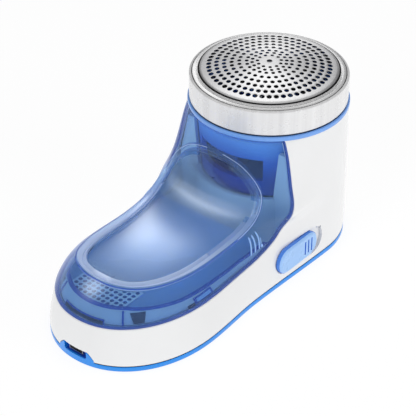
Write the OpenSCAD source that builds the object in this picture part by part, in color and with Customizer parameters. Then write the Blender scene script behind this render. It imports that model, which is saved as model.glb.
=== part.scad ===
// Hand-held fabric shaver: upright cutting head on a shoe-shaped body,
// pull-off translucent lint bin, rechargeable, side slide switch.
// Frame: +Z up, toe towards -Y, switch on +X, origin on the resting face
// directly below the axis of the cutting head. Millimetres.

/* [Body] */
// heel radius of the casing at the resting face
heel_r = 32.6; // [32:0.1:33]
// half width of the waist between heel and toe
waist_half = 31.7; // [31:0.1:32.4]
// half width of the toe at its widest
toe_half = 33.1; // [32.6:0.1:33.6]
// distance from the head axis to the toe tip
toe_reach = 116.4; // [115.5:0.1:117.5]
// casing wall thickness
casing_wall = 2; // [1.8:0.1:2.2]
// inward draft of the toe side at the parting line
toe_draft = 2.7; // [2.3:0.1:3]
// height of the casing column under the head trim
column_h = 60.6; // [60.2:0.1:60.6]
// bottom plate thickness
plate_t = 2.2; // [1.8:0.1:2.2]

/* [Lint bin] */
// height of the straight parting line between bin and toe band
parting_z = 17.9; // [17.8:0.1:18.3]
// bin wall thickness
bin_wall = 1.6; // [1.3:0.1:1.8]
// gap left all along the parting line
parting_gap = 0.15; // [0.12:0.01:0.25]
// how far the thumb dish is sunk (1 = as designed)
dish_depth = 1; // [0.6:0.05:1.1]

/* [Cutting head] */
// spherical radius of the foil
foil_sphere_r = 138.2; // [130:1:150]
// height of the crown of the foil
foil_top_z = 77.7; // [77.5:0.05:77.9]
// foil thickness
foil_t = 0.3; // [0.25:0.05:0.35]
// radius of the perforated disc
foil_r = 28.2; // [28.1:0.05:28.3]
// radius of the outermost ring of holes
hole_ring_r = 24; // [23:0.25:24.5]
// diameter of the outermost holes
hole_d_outer = 1.9; // [1.5:0.1:2]
// diameter of the inner holes
hole_d_inner = 1.35; // [1.0:0.05:1.5]
// number of cutting edges
blade_count = 6; // [3:1:6]

/* [Fan and motor] */
// number of impeller blades
fan_blades = 11; // [7:1:12]
// impeller radius
fan_r = 24; // [20:0.5:25]
// motor can radius
motor_r = 12; // [11:0.25:12.5]
// shaft radius
shaft_r = 1; // [1:0.05:1.1]

/* [Switch] */
// travel of the slide knob
switch_travel = 3.6; // [2.5:0.1:3.6]
// knob length along the body
knob_len = 25; // [23:0.5:25]
// knob height
knob_h = 11.6; // [10.5:0.1:11.6]

/* [Power] */
// cell radius
cell_r = 6.8; // [6:0.1:6.8]
// cell length
cell_len = 48; // [40:1:49]

/* [Hidden] */
fn_fine = 96;
overlap = 0.1;              // sink of joined parts into each other

// body outline; "run" goes from 0 beside the head axis to 1 at the toe tip
column_r = 32.2;            // casing radius under the trim
waist_y = 47;               // distance of the waist from the axis
wide_y = 75;                // distance of the widest toe section
wide_run = 0.45;            // run at the widest toe section
draft_length = 60;          // distance over which the draft sets in
toe_roundness = 2.12;       // exponent of the toe outline
heel_steps = 12;            // outline points round the heel, per side
toe_steps = 26;             // outline points from heel to toe, per side

// casing mesh
rows_low = 4;               // rows below the parting line
rows_up = 8;                // rows beside the bin opening
heel_cols = 9;              // columns per side behind the bin
round_cols = 6;             // of these, columns on the round of the heel

// bin mesh; stations run from the top centre of the bin to the toe tip
last_station = 19;
corner_station = 4;         // where the bin top meets the column
turn_station = 8;           // where the parting line turns forward
bin_rows = 5;
dish_rows = 5;
opening_cols = last_station - turn_station;

// deck and head drum
deck_z = 16.3;
deck_t = 1.2;
cheek_y = -19.1;            // back of the cheeks and of the deck
cheek_top = 53;
drum_r = 29;                // outer radius of the drum at its flange
drum_taper = 2.2;           // how much narrower it is at its floor
drum_wall = 1.9;
drum_z0 = 31.6;
drum_floor = 1.8;
flange_r = 32.5;
flange_z = 60.8;
flange_t = 2.2;

// base screws and their bosses: x, y
boss_at = [[19.4, 19.4], [-19.4, 19.4], [27, -80], [-27, -80]];
board_screw_at = [[9.5, -91], [-9.5, -91]];
// the two screws between drum floor and motor can
motor_screw_angles = [45, 225];
motor_screw_ring = 8;

// slide switch, on +X
knob_y = -21.25;
knob_z = 11.3;
light_y = knob_y + knob_len / 2 + switch_travel - 1.1;
light_z = knob_z + 4;

// cell, lying along Y
cell_x = -9;
cell_y = -62;
cell_z = 9.4;
cell_front = cell_y - cell_len / 2;
cell_back = cell_y + cell_len / 2;

// ---------------------------------------------------------------- helpers
function lerp(start, end, share) = start + (end - start) * share;
function clamp(x, low = 0, high = 1) = min(high, max(low, x));
function smooth(share) = share * share * (3 - 2 * share);
// smooth step from value0 at y0 to value1 at y1
function ease(y0, value0, y1, value1, y) =
  lerp(value0, value1, smooth(clamp((y - y0) / (y1 - y0))));
function unit(vector) = vector / max(norm(vector), 1e-9);
function flip(point, sign) = [point[0] * sign, point[1], point[2]];
// plan normal left of the way from one point to the next: outward on the
// +X side when going from heel to toe
function outward(from, to) = unit([from[1] - to[1], to[0] - from[0]]);
function flat(vector) = [vector[0], vector[1], 0];

// Catmull-Rom cubic between p1 and p2
function cubic(p0, p1, p2, p3, f) = 0.5 * (2 * p1 + (p2 - p0) * f
  + (2 * p0 - 5 * p1 + 4 * p2 - p3) * f * f + (3 * p1 - p0 - 3 * p2 + p3) * f * f * f);
// cubic through a table, with the entries to use before and after it
function spline(table, position, before, after) = let (
    last = len(table) - 1,
    i = clamp(floor(position), 0, last - 1))
  cubic(i == 0 ? before : table[i - 1], table[i], table[i + 1],
    i + 2 > last ? after : table[i + 2], position - i);
// open ends carry on straight
function through(table, position) = let (last = len(table) - 1)
  spline(table, position, 2 * table[0] - table[1], 2 * table[last] - table[last - 1]);
// ends carry on into their mirror image across x = 0
function through_sym(table, position) =
  spline(table, position, flip(table[1], -1), flip(table[len(table) - 2], -1));

// split quads, dropping collapsed corners
function tri(a, b, c) = (a == b || b == c || a == c) ? [] : [[a, b, c]];
function quad(a, b, c, d) = concat(tri(a, b, c), tri(a, c, d));
// the same triangles reversed, on points that follow later in the list
function reversed(faces, shift) = [for (f = faces) [f[0] + shift, f[2] + shift, f[1] + shift]];

function even_turns(count) = [for (i = [0:count - 1]) 360 * i / count];
module spin(angles) {
  for (angle = angles) rotate([0, 0, angle]) children();
}
module at_each(points, z = 0) {
  for (p = points) translate([p[0], p[1], z]) children();
}
// upright cylinder on the head axis
module rod(z, r, h, sides) {
  translate([0, 0, z]) cylinder(r = r, h = h, $fn = sides);
}
module box(corner, size) {
  translate(corner) cube(size);
}
module shaft_bore(z, h) {
  rod(z, shaft_r + 0.05, h, 30);
}
// plan area of everything on the toe side of y
module toe_side(y) {
  translate([-40, -130]) square([80, 130 + y]);
}
module stadium(length, height) {
  for (s = [-1, 1]) translate([s * (length - height) / 2, 0]) circle(d = height, $fn = 48);
  square([length - height, height], center = true);
}
// stadium standing in the YZ plane, centred on the knob
module knob_slab(x, t, length, height, shift = 0) {
  translate([x, knob_y + shift, knob_z]) rotate([90, 0, 90])
    linear_extrude(t) stadium(length, height);
}
// slotted screw, head down
module screw(head_r, head_h, r, length) {
  difference() {
    union() {
      cylinder(r = head_r, h = head_h, $fn = 30);
      rod(head_h - 0.05, r, length + 0.05, 24);
    }
    spin([0, 90]) box([-head_r * 0.6, -0.3, -1], [head_r * 1.2, 0.6, 1.5]);
  }
}
// round wire along a path
function tube_points(path, r, sides) = [for (i = [0:len(path) - 1]) let (
    along = unit(path[min(len(path) - 1, i + 1)] - path[max(0, i - 1)]),
    guide = abs(along[2]) > 0.8 ? [1, 0, 0] : [0, 0, 1],
    across = unit(cross(guide, along)),
    third = cross(along, across))
  for (j = [0:sides - 1])
    path[i] + r * (cos(360 * j / sides) * across + sin(360 * j / sides) * third)];
module tube(path, r, sides = 8) {
  last = len(path) - 1;
  function vertex(i, j) = i * sides + j % sides;
  polyhedron(points = tube_points(path, r, sides), faces = concat(
    [for (i = [0:last - 1]) for (j = [0:sides - 1])
      each quad(vertex(i, j), vertex(i + 1, j), vertex(i + 1, j + 1), vertex(i, j + 1))],
    [[for (j = [0:sides - 1]) j]],
    [[for (j = [sides - 1:-1:0]) vertex(last, j)]]), convexity = 6);
}

// ------------------------------------------------------------ body surface
function draft(z) = toe_draft * pow(max(0, z - 4) / 15.3, 1.4);
function casing_r(z) = lerp(heel_r, column_r, clamp(z / column_h));
function run_at(y) = -y * wide_run / wide_y;
// [x, y] of the outline at the resting face
function plan(run) = let (
    angle = clamp((run - wide_run) / (1 - wide_run)) * 90,
    reach = wide_y * run / wide_run)
  run < wide_run
  ? [reach < waist_y ? ease(0, heel_r, waist_y, waist_half, reach)
      : ease(waist_y, waist_half, wide_y, toe_half, reach), -reach]
  : [toe_half * pow(cos(angle), 2 / toe_roundness),
      -wide_y - (toe_reach - wide_y) * pow(sin(angle), 2 / toe_roundness)];
// outline at height z, drawn in by the draft
function band(z, run) = let (
    point = plan(run),
    inset = draft(z) * clamp(-point[1] / draft_length))
  [point[0] * (1 - inset / toe_half)
      + (column_r - heel_r) * clamp(z / column_h) * (1 - clamp(run)),
    point[1] * (1 - inset / toe_reach)];
// [depth, exponent] of the front of the column at height z
function flare(z) = let (s = clamp((column_h - z) / 30.6))
  [column_r + 8.2 * pow(s, 1.25) + 8 * pow(s, 8), 2 + 0.95 * pow(s, 0.8) + 2.5 * pow(s, 6)];
function column_x(z, y) = let (front = flare(z))
  casing_r(z) * pow(1 - pow(clamp(-y / front[0], 0, 0.9999), front[1]), 1 / front[1]);
// half width at z, y: toe band low down, blending into the column above
function flank(z, y) =
  lerp(band(z, run_at(y))[0], column_x(z, y), smooth(clamp((z - 24) / 8)));
// [x, y] of the outer surface at height z
function side(z, run) = let (y = -wide_y * run / wide_run)
  run < wide_run
  ? [flank(z, y), y * (1 - draft(z) * clamp(-y / draft_length) / toe_reach)]
  : band(z, run);

// closed outline at height z, moved inwards
function ring(z, inset) = let (
    r = casing_r(z) - inset,
    half = concat(
      [for (i = [0:heel_steps]) r * [sin(90 * i / heel_steps), cos(90 * i / heel_steps)]],
      [for (i = [1:toe_steps]) let (
          run = i / toe_steps,
          point = band(z, run),
          normal = outward(band(z, max(0, run - 0.01)), band(z, min(1, run + 0.01))))
        i == toe_steps ? [0, point[1] + inset] : point - inset * normal]))
  concat(half, [for (i = [len(half) - 2:-1:1]) [-half[i][0], half[i][1]]]);
// band between two insets of the outline
module outline_band(z, outer_inset, inner_inset) {
  difference() {
    polygon(ring(z, outer_inset));
    polygon(ring(z, inner_inset));
  }
}

// ------------------------------------------------------------ parting line
// y, z down the column, from corner_station to turn_station
ankle = [[-21.1, column_h], [-21.3, 52], [-21.9, 42.5], [-23, 34.6], [-26.2, 29.3]];
// y and z of the stations from turn_station on
sole_y = [-26.2, -32.5, -43, -54, -65, -75];
sole_z = [29.3, parting_z + 5.3, parting_z + 1.6, parting_z + 0.3, parting_z];
wide_station = turn_station + len(sole_y) - 1;
corner_angle = acos(-ankle[0][0] / column_r);

function sole_run(station) = station <= wide_station
  ? run_at(through(sole_y, station - turn_station))
  : wide_run + (1 - wide_run) * (station - wide_station) / (last_station - wide_station);
function sole_height(station) = station >= turn_station + len(sole_z) - 1
  ? parting_z : through(sole_z, station - turn_station);
// direction from the head axis, up to corner_station
function top_direction(station) = let (angle = station / corner_station * corner_angle)
  [sin(angle), -cos(angle), 0];
function parting(station) =
  station <= corner_station ? column_r * top_direction(station) + [0, 0, column_h]
  : station <= turn_station
  ? let (yz = through(ankle, station - corner_station)) [flank(yz[1], yz[0]), yz[0], yz[1]]
  : let (z = sole_height(station), point = side(z, sole_run(station))) [point[0], point[1], z];

// ------------------------------------------------------------- lint bin
// x, y, z of the edge of the thumb dish at each station
dish_rim = [
  [0, -33.9, 52.1], [6.5, -33.7, 51.4], [12.6, -33.1, 49.4], [17.6, -32.6, 45.8],
  [20.8, -32.5, 42.2], [22.4, -33.1, 39.6], [23.4, -34.8, 37], [24, -37.2, 34.4],
  [24.2, -40.8, 32], [23.8, -46, 29.8], [23.2, -52.5, 28.5], [22.8, -60, 27.8],
  [22.6, -68, 27.6], [22.2, -76, 28], [21, -84.5, 28.9], [18.4, -92.3, 29.8],
  [14.6, -97.7, 30.4], [10.2, -100.6, 30.6], [5.2, -102.2, 30.7], [0, -102.6, 30.8]];
// y, z of the centre line of the dish at each station
dish_mid = [
  [-33.9, 52.1], [-34.2, 49.5], [-34.8, 47], [-35.5, 44.3], [-36.3, 42],
  [-37.2, 39.7], [-38.4, 37.4], [-40, 34.8], [-43, 31.4], [-47.5, 28.4],
  [-53, 26.4], [-60, 25.1], [-68, 24.6], [-76, 24.8], [-84.5, 25.7],
  [-91.5, 27], [-96.5, 28.4], [-99.8, 29.5], [-101.9, 30.3], [-102.6, 30.8]];
// outward bulge of the shoulder between parting line and dish edge, per station
bulge = [0.2, 0.2, 0.3, 0.4, 0.4, 0.3, 0.3, 0.5, 0.9, 1.4,
  1.8, 2, 2.1, 2.1, 2.1, 2.1, 2.1, 2.1, 2.1, 2.1];
normal_step = 0.04;         // step for the slopes behind the normals

function up_or_out(normal) = (normal[0] - normal[1] + normal[2]) < 0 ? -normal : normal;
function bin_edge(station) = parting(station) + (
  station < corner_station ? [0, 0, -parting_gap]
  : station == corner_station ? [0, -parting_gap, -parting_gap]
  : [0, -parting_gap, parting_gap]);
// shoulder: rise is 0 at the parting line, 1 at the dish edge
function shoulder(station, rise) = let (
    before = max(0, station - 0.02),
    after = min(last_station, station + 0.02),
    edge = bin_edge(station),
    rim = through_sym(dish_rim, station),
    along = unit(parting(after) - parting(before))
      + unit(through_sym(dish_rim, after) - through_sym(dish_rim, before)),
    control = (edge + rim) / 2
      + through(bulge, station) * up_or_out(unit(cross(rim - edge, along))))
  (1 - rise) * (1 - rise) * edge + 2 * rise * (1 - rise) * control + rise * rise * rim;
function shoulder_normal(station, rise) = let (
    before = max(0, station - normal_step),
    after = min(last_station, station + normal_step),
    below = max(0, rise - normal_step),
    above = min(1, rise + normal_step),
    normal = up_or_out(unit(cross(shoulder(after, rise) - shoulder(before, rise),
      shoulder(station, above) - shoulder(station, below)))))
  (station == 0 || station == last_station) ? unit([0, normal[1], normal[2]]) : normal;
// inner skin of the shoulder; the mating edge stays flat
function shoulder_in(station, rise) = shoulder(station, rise) - bin_wall * (
  rise > 0 ? shoulder_normal(station, rise)
  : station < corner_station ? top_direction(station)
  : station <= turn_station ? [1, 0, 0]
  : station == last_station ? [0, -1, 0]
  : let (run = sole_run(station), z = sole_height(station))
    flat(outward(side(z, run - 0.01), side(z, min(1, run + 0.01)))));

// dish: across is 1 at the rim, 0 on the centre line
function dish(station, across) = let (
    rim = through_sym(dish_rim, station),
    mid = through(dish_mid, station),
    sink = 1 - lerp(1, pow(abs(across), 2.4), dish_depth))
  [rim[0] * across, rim[1] + (mid[0] - rim[1]) * sink, rim[2] + (mid[1] - rim[2]) * sink];
function dish_normal(station, across) = let (
    normal = unit(cross(
      dish(station + normal_step, across) - dish(station - normal_step, across),
      dish(station, across + normal_step) - dish(station, across - normal_step))))
  normal[2] - normal[1] < 0 ? -normal : normal;
function dish_in(station, across) = let (normal = dish_normal(station, across))
  dish(station, across)
    - bin_wall * (across == 0 ? unit([0, normal[1], normal[2]]) : normal);

// one skin: shoulder columns all round, dish halves, dish centre line
function bin_points(inner) = concat(
  [for (c = [0:2 * last_station - 1]) for (i = [0:bin_rows]) let (
      station = c <= last_station ? c : 2 * last_station - c,
      rise = i / bin_rows)
    flip(inner ? shoulder_in(station, rise) : shoulder(station, rise),
      c <= last_station ? 1 : -1)],
  [for (sign = [1, -1]) for (k = [1:last_station - 1]) for (j = [1:dish_rows - 1])
    let (across = 1 - j / dish_rows)
    flip(inner ? dish_in(k, across) : dish(k, across), sign)],
  [for (k = [1:last_station - 1]) inner ? dish_in(k, 0) : dish(k, 0)]);

module bin_shell() {
  cols = 2 * last_station;
  shoulder_count = cols * (bin_rows + 1);
  dish_count = (last_station - 1) * (dish_rows - 1);
  skin_count = shoulder_count + 2 * dish_count + last_station - 1;
  function on_shoulder(c, i) = (c % cols) * (bin_rows + 1) + i;
  // half is 0 on +X, 1 on -X
  function on_dish(half, k, j) =
    (k == 0 || k == last_station) ? on_shoulder(k, bin_rows)
    : j == 0 ? on_shoulder(half == 0 ? k : cols - k, bin_rows)
    : j == dish_rows ? shoulder_count + 2 * dish_count + k - 1
    : shoulder_count + half * dish_count + (k - 1) * (dish_rows - 1) + j - 1;
  outer_faces = concat(
    [for (c = [0:cols - 1]) for (i = [0:bin_rows - 1])
      each quad(on_shoulder(c, i), on_shoulder(c, i + 1),
        on_shoulder(c + 1, i + 1), on_shoulder(c + 1, i))],
    [for (k = [0:last_station - 1]) for (j = [0:dish_rows - 1])
      each quad(on_dish(0, k, j), on_dish(0, k, j + 1),
        on_dish(0, k + 1, j + 1), on_dish(0, k + 1, j))],
    [for (k = [0:last_station - 1]) for (j = [0:dish_rows - 1])
      each quad(on_dish(1, k, j), on_dish(1, k + 1, j),
        on_dish(1, k + 1, j + 1), on_dish(1, k, j + 1))]);
  edge_faces = [for (c = [0:cols - 1])
    each quad(on_shoulder(c, 0), on_shoulder(c + 1, 0),
      on_shoulder(c + 1, 0) + skin_count, on_shoulder(c, 0) + skin_count)];
  polyhedron(points = concat(bin_points(false), bin_points(true)),
    faces = concat(outer_faces, reversed(outer_faces, skin_count), edge_faces),
    convexity = 8);
}
module lint_bin() {
  color([0.25, 0.45, 0.85, 0.55]) bin_shell();
}

// ------------------------------------------------------------- main casing
// columns run from 0 at the heel centre over heel_cols at the bin opening,
// then through the parting stations to the toe tip
last_col = heel_cols + opening_cols;
function col_station(col) = turn_station + max(0, col - heel_cols);
function row_station(row) =
  turn_station - (row - rows_low) * (turn_station - corner_station) / rows_up;
function casing_z(row, col) = row <= rows_low
  ? lerp(plate_t + 0.1, sole_height(col_station(col)), row / rows_low)
  : parting(row_station(row))[2];
function opening_y(row) = row <= rows_low ? ankle[4][0] : parting(row_station(row))[1];
function casing_out(row, col) = let (z = casing_z(row, col))
  col <= round_cols
  ? let (r = casing_r(z), angle = 90 * col / round_cols) [r * sin(angle), r * cos(angle), z]
  : col <= heel_cols
  ? let (y = opening_y(row) * (col - round_cols) / (heel_cols - round_cols)) [flank(z, y), y, z]
  : let (point = side(z, sole_run(col_station(col)))) [point[0], point[1], z];
function casing_in(row, col) = casing_out(row, col) - casing_wall * (
  col == 0 ? [0, 1, 0]
  : col == heel_cols ? [1, 0, 0]
  : col == last_col ? [0, -1, 0]
  : flat(outward(casing_out(row, col - 1), casing_out(row, col + 1))));
// rows above the parting line repeat its points across the bin opening
function casing_points(inner) = [for (i = [0:rows_low + rows_up]) for (c = [0:2 * last_col - 1])
  let (
    col = c <= last_col ? c : 2 * last_col - c,
    row = col > heel_cols ? min(i, rows_low) : i)
  flip(inner ? casing_in(row, col) : casing_out(row, col), c <= last_col ? 1 : -1)];

module casing_skin() {
  cols = 2 * last_col;
  rows = rows_low + rows_up;
  skin_count = (rows + 1) * cols;
  function vertex(row, c) = row * cols + ((c + cols) % cols);
  function cell(row, c) =
    quad(vertex(row, c), vertex(row, c + 1), vertex(row + 1, c + 1), vertex(row + 1, c));
  // joins the edge a-b of the outer skin to the inner skin
  function wall(a, b) = quad(a, b, b + skin_count, a + skin_count);
  outer_faces = concat(
    [for (row = [0:rows_low - 1]) for (c = [0:cols - 1]) each cell(row, c)],
    [for (row = [rows_low:rows - 1]) for (c = [-heel_cols:heel_cols - 1]) each cell(row, c)]);
  // bottom, parting line, column top, then both upright edges of the opening
  edge_faces = concat(
    [for (c = [0:cols - 1]) let (a = vertex(0, c), b = vertex(0, c + 1))
      each quad(b, a, a + skin_count, b + skin_count)],
    [for (c = [heel_cols:cols - heel_cols - 1])
      each wall(vertex(rows_low, c), vertex(rows_low, c + 1))],
    [for (c = [-heel_cols:heel_cols - 1]) each wall(vertex(rows, c), vertex(rows, c + 1))],
    [for (row = [rows_low:rows - 1]) each concat(
      wall(vertex(row, heel_cols), vertex(row + 1, heel_cols)),
      wall(vertex(row + 1, -heel_cols), vertex(row, -heel_cols)))]);
  polyhedron(points = concat(casing_points(false), casing_points(true)),
    faces = reversed(concat(outer_faces, reversed(outer_faces, skin_count), edge_faces), 0),
    convexity = 8);
}

module main_housing() {
  color([0.95, 0.95, 0.96]) difference() {
    union() {
      casing_skin();
      at_each(boss_at, plate_t + 0.2) cylinder(r = 3.4, h = 9, $fn = 32);
    }
    at_each(boss_at) cylinder(r = 1.35, h = 10, $fn = 24);
    // shallow recess the knob runs in, and the slot behind it
    knob_slab(31, 5, knob_len + switch_travel + 0.6, knob_h + 0.6, switch_travel / 2);
    box([28, knob_y - 4, knob_z - 2.2], [6, 8 + switch_travel, 4.4]);
    // light window in the recess
    translate([28, light_y, light_z]) rotate([0, 90, 0]) cylinder(r = 0.75, h = 6, $fn = 20);
    // room for the raised lip around the charging port
    box([-8.9, -120, 0], [17.8, 8, 6.7]);
  }
}

// ------------------------------------------------------------- base plate
// x, -z of the raised lip around the charging port
port_lip = [[-8.6, 0], [-8.6, -4.4], [-7.4, -5.6], [-5.6, -6.4],
  [5.6, -6.4], [7.4, -5.6], [8.6, -4.4], [8.6, 0]];
plate_ring_z = 1;           // height at which the plate outline is taken
cradle_t = 2;
cradle_h = 4.5;
cradle_rim = 1;             // cradle width beyond the cell, per side

module port_lip_wall() {
  intersection() {
    linear_extrude(6.5) outline_band(plate_ring_z, 0, casing_wall + 0.2);
    translate([0, -119, 0]) rotate([-90, 0, 0]) linear_extrude(9) polygon(port_lip);
  }
}
module cell_cradle(y) {
  translate([cell_x - cell_r - cradle_rim, y - cradle_t / 2, plate_t - overlap]) difference() {
    cube([2 * (cell_r + cradle_rim), cradle_t, cradle_h]);
    translate([cell_r + cradle_rim, -1, cell_z - plate_t]) rotate([-90, 0, 0])
      cylinder(r = cell_r + 0.1, h = 4, $fn = 48);
  }
}
module base_plate() {
  color([0.30, 0.55, 0.93]) difference() {
    union() {
      linear_extrude(plate_t) polygon(ring(plate_ring_z, 0));
      // locating rib inside the casing
      translate([0, 0, plate_t - overlap]) linear_extrude(2.1)
        outline_band(4, casing_wall + 0.55, casing_wall + 1.75);
      port_lip_wall();
      for (s = [-1, 1]) cell_cradle(cell_y + 14 * s);
      // stand-offs of the control board
      at_each(board_screw_at, plate_t - overlap) cylinder(r = 2, h = 0.5, $fn = 24);
    }
    // port opening
    translate([0, -121, 4.95]) rotate([-90, 0, 0])
      linear_extrude(12) square([7.2, 3.2], center = true);
    // rib clearance behind the port
    box([-8.7, -114.15, plate_t], [17.4, 4, 4]);
    // screw holes, head recesses and room for the bosses
    at_each(boss_at, -1) cylinder(r = 1.6, h = 6, $fn = 24);
    at_each(boss_at, -1) cylinder(r = 3, h = 2.3, $fn = 32);
    at_each(boss_at, plate_t) cylinder(r = 3.9, h = 4, $fn = 32);
    at_each(board_screw_at, 1) cylinder(r = 0.8, h = 3, $fn = 20);
  }
}

// ------------------------------------------------------------ inner frame
// deck under the bin, bulkhead under the drum and the two cheeks beside it
cheek_y_squared = 364.9;    // rounded
function drum_at(z) = drum_r - drum_taper * clamp((flange_z - z) / (flange_z - drum_z0));
module cheek(sign) {
  heights = [for (i = [0:6]) lerp(deck_z + 0.2, cheek_top, i / 6)];
  inner_edge = [for (z = heights) [sign * sqrt(pow(drum_at(z) + 0.3, 2) - cheek_y_squared), z]];
  outer_edge = [for (i = [6:-1:0]) let (z = heights[i])
    [sign * (flank(z, -20) - casing_wall - 1.1), z]];
  translate([0, cheek_y, 0]) rotate([90, 0, 0])
    linear_extrude(1.8) polygon(concat(inner_edge, outer_edge));
}
module inner_frame() {
  color([0.93, 0.94, 0.96]) union() {
    translate([0, 0, deck_z]) linear_extrude(deck_t) difference() {
      intersection() {
        polygon(ring(parting_z - 0.2, casing_wall + 0.3));
        toe_side(cheek_y);
      }
      circle(r = 27.6, $fn = fn_fine);
    }
    translate([0, 0, deck_z]) intersection() {
      rotate_extrude($fn = fn_fine) translate([27.5, 0]) square([1.8, drum_z0 - deck_z - 0.2]);
      box([-22.6, -40, 0], [45.2, 22, 40]);
    }
    cheek(1);
    cheek(-1);
  }
}

// ------------------------------------------------------ loose parts in the bin
floor_z = parting_z + 0.45;
floor_back_y = -32.4;
floor_ring_z = parting_z + 3;   // height at which the floor outline is taken
filter_corner = [-16.4, -105.2];
filter_size = [26.4, 17.4];
filter_gap = 0.2;
catch_stations = [14.4, 12.1];
catch_size = [5.2, 1, 2.6];

module floor_outline(inset) {
  intersection() {
    polygon(ring(floor_ring_z, bin_wall + inset));
    toe_side(floor_back_y);
  }
}
module bin_floor() {
  color([0.22, 0.38, 0.78]) union() {
    translate([0, 0, floor_z]) linear_extrude(1.1) difference() {
      floor_outline(1.4);
      translate(filter_corner - [filter_gap, filter_gap])
        square(filter_size + 2 * [filter_gap, filter_gap]);
    }
    // low wall that keeps the lint off the skirt
    translate([0, 0, parting_z + 1.5]) linear_extrude(3.2) difference() {
      floor_outline(3.6);
      polygon(ring(floor_ring_z, bin_wall + 4.5));
    }
  }
}
module lint_filter() {
  color([0.35, 0.5, 0.8]) translate([0, 0, floor_z]) linear_extrude(0.9) difference() {
    translate(filter_corner) square(filter_size);
    for (i = [0:10]) for (j = [0:6])
      translate(filter_corner + [1.8 + i * 2.28, 1.6 + j * 2.36]) circle(d = 1.4, $fn = 14);
  }
}
// tilted tabs that follow the side of the body
module bin_catches() {
  color([0.12, 0.16, 0.28]) for (s = [1, -1]) for (station = catch_stations) {
    run = sole_run(station);
    point = side(parting_z + 1, run);
    next = side(parting_z + 1, run + 0.01);
    heading = atan2(next[1] - point[1], next[0] - point[0]);
    translate([s * point[0], point[1], 0]) rotate([0, 0, s > 0 ? heading : 180 - heading])
      translate([-catch_size[0] / 2, -s * 2.95, parting_z + 2.15]) rotate([33 * s, 0, 0])
      box([0, s > 0 ? -catch_size[1] : 0, 0], catch_size);
  }
}

// ------------------------------------------------------------- cutting head
flange_top = flange_z + flange_t;
collar_r = 29.3;            // collar standing on the flange
collar_bore = 27.1;
collar_top = 67.8;
flange_bore = 25.6;
spider_z = 52;
window_z = 38.8;
window_h = 10;
flange_profile = [
  [flange_bore, flange_z], [flange_r - 0.3, flange_z], [flange_r, flange_z + 0.3],
  [flange_r, flange_top - 0.3], [flange_r - 0.3, flange_top], [collar_r, flange_top],
  [collar_r, collar_top], [collar_bore, collar_top], [collar_bore, flange_top],
  [flange_bore, flange_top]];
drum_profile = [
  [drum_at(drum_z0) - drum_wall, drum_z0], [drum_at(drum_z0), drum_z0],
  [drum_r, flange_z], [drum_r, flange_z + 0.2],
  [drum_r - drum_wall, flange_z + 0.2], [drum_r - drum_wall, flange_z]];
module head_base() {
  color([0.24, 0.46, 0.86]) difference() {
    union() {
      rotate_extrude($fn = fn_fine) polygon(flange_profile);
      rotate_extrude($fn = fn_fine) polygon(drum_profile);
      rod(drum_z0, drum_at(drum_z0) - 0.2, drum_floor, fn_fine);
      // spider carrying the upper shaft sleeve
      rod(spider_z, 4, 4.4, 36);
      spin([30:60:330]) box([3, -0.9, spider_z], [drum_r - drum_wall - 2.8, 1.8, 3]);
    }
    rod(30, 3.3, 8, 36);
    rod(50, 1.6, 8, 30);
    // lint window towards the bin
    translate([0, 0, window_z]) linear_extrude(window_h)
      polygon([[0, -18], [35 * tan(35), -35], [-35 * tan(35), -35]]);
    box([-16.6, -36, window_z], [33.2, 14, window_h]);
    spin(motor_screw_angles) translate([motor_screw_ring, 0, 30])
      cylinder(r = 1.3, h = 6, $fn = 24);
  }
}

// rings of holes from the centre out: count, and radius as a share of hole_ring_r
ring_holes = [1, 11, 16, 21, 27, 34, 41, 48, 55];
ring_share = [0, 0.199, 0.287, 0.375, 0.499, 0.624, 0.749, 0.874, 1];
last_ring = len(ring_holes) - 1;
foil_centre_z = foil_top_z - foil_sphere_r;
foil_edge_z = foil_centre_z + sqrt(foil_sphere_r * foil_sphere_r - foil_r * foil_r);
skirt_z = 71.1;
skirt_t = 0.5;
function hole_d(i) = i == last_ring ? hole_d_outer : i == 0 ? 2.2 : hole_d_inner + 0.05 * (i - 1);
module foil_ball(inset) {
  translate([0, 0, foil_centre_z]) sphere(r = foil_sphere_r - inset, $fn = 128);
}
module foil() {
  color([0.78, 0.79, 0.80]) union() {
    intersection() {
      difference() {
        foil_ball(0);
        foil_ball(foil_t);
      }
      translate([0, 0, 72]) linear_extrude(8) difference() {
        circle(r = foil_r, $fn = fn_fine);
        // every other ring is turned by half a pitch
        for (i = [0:last_ring]) for (j = [0:ring_holes[i] - 1])
          rotate(360 * (j + 0.5 * (i % 2)) / ring_holes[i])
          translate([hole_ring_r * ring_share[i], 0]) circle(d = hole_d(i), $fn = 14);
      }
    }
    rotate_extrude($fn = fn_fine) translate([foil_r - skirt_t, skirt_z])
      square([skirt_t, foil_edge_z - skirt_z - 0.1]);
  }
}
// r, z profiles of the two rings round the foil
rim_profile = [[26.9, 69.9], [30.3, 69.9], [30.3, 73.4], [30.6, 73.7], [30.6, 75.1],
  [30.1, 75.6], [28.9, 75.6], [28.4, 75.1], [28.4, 70.9], [26.9, 70.9]];
guard_profile = [[29.5, 63.1], [31.8, 63.1], [31.7, 71.9], [31.45, 72.8],
  [30.95, 73.3], [30.75, 73.3], [30.75, 69.8], [29.5, 69.8]];
module foil_rim() {
  color([0.86, 0.87, 0.88]) rotate_extrude($fn = fn_fine) polygon(rim_profile);
}
module guard_ring() {
  color([0.90, 0.90, 0.91]) rotate_extrude($fn = fn_fine) polygon(guard_profile);
}

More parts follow.
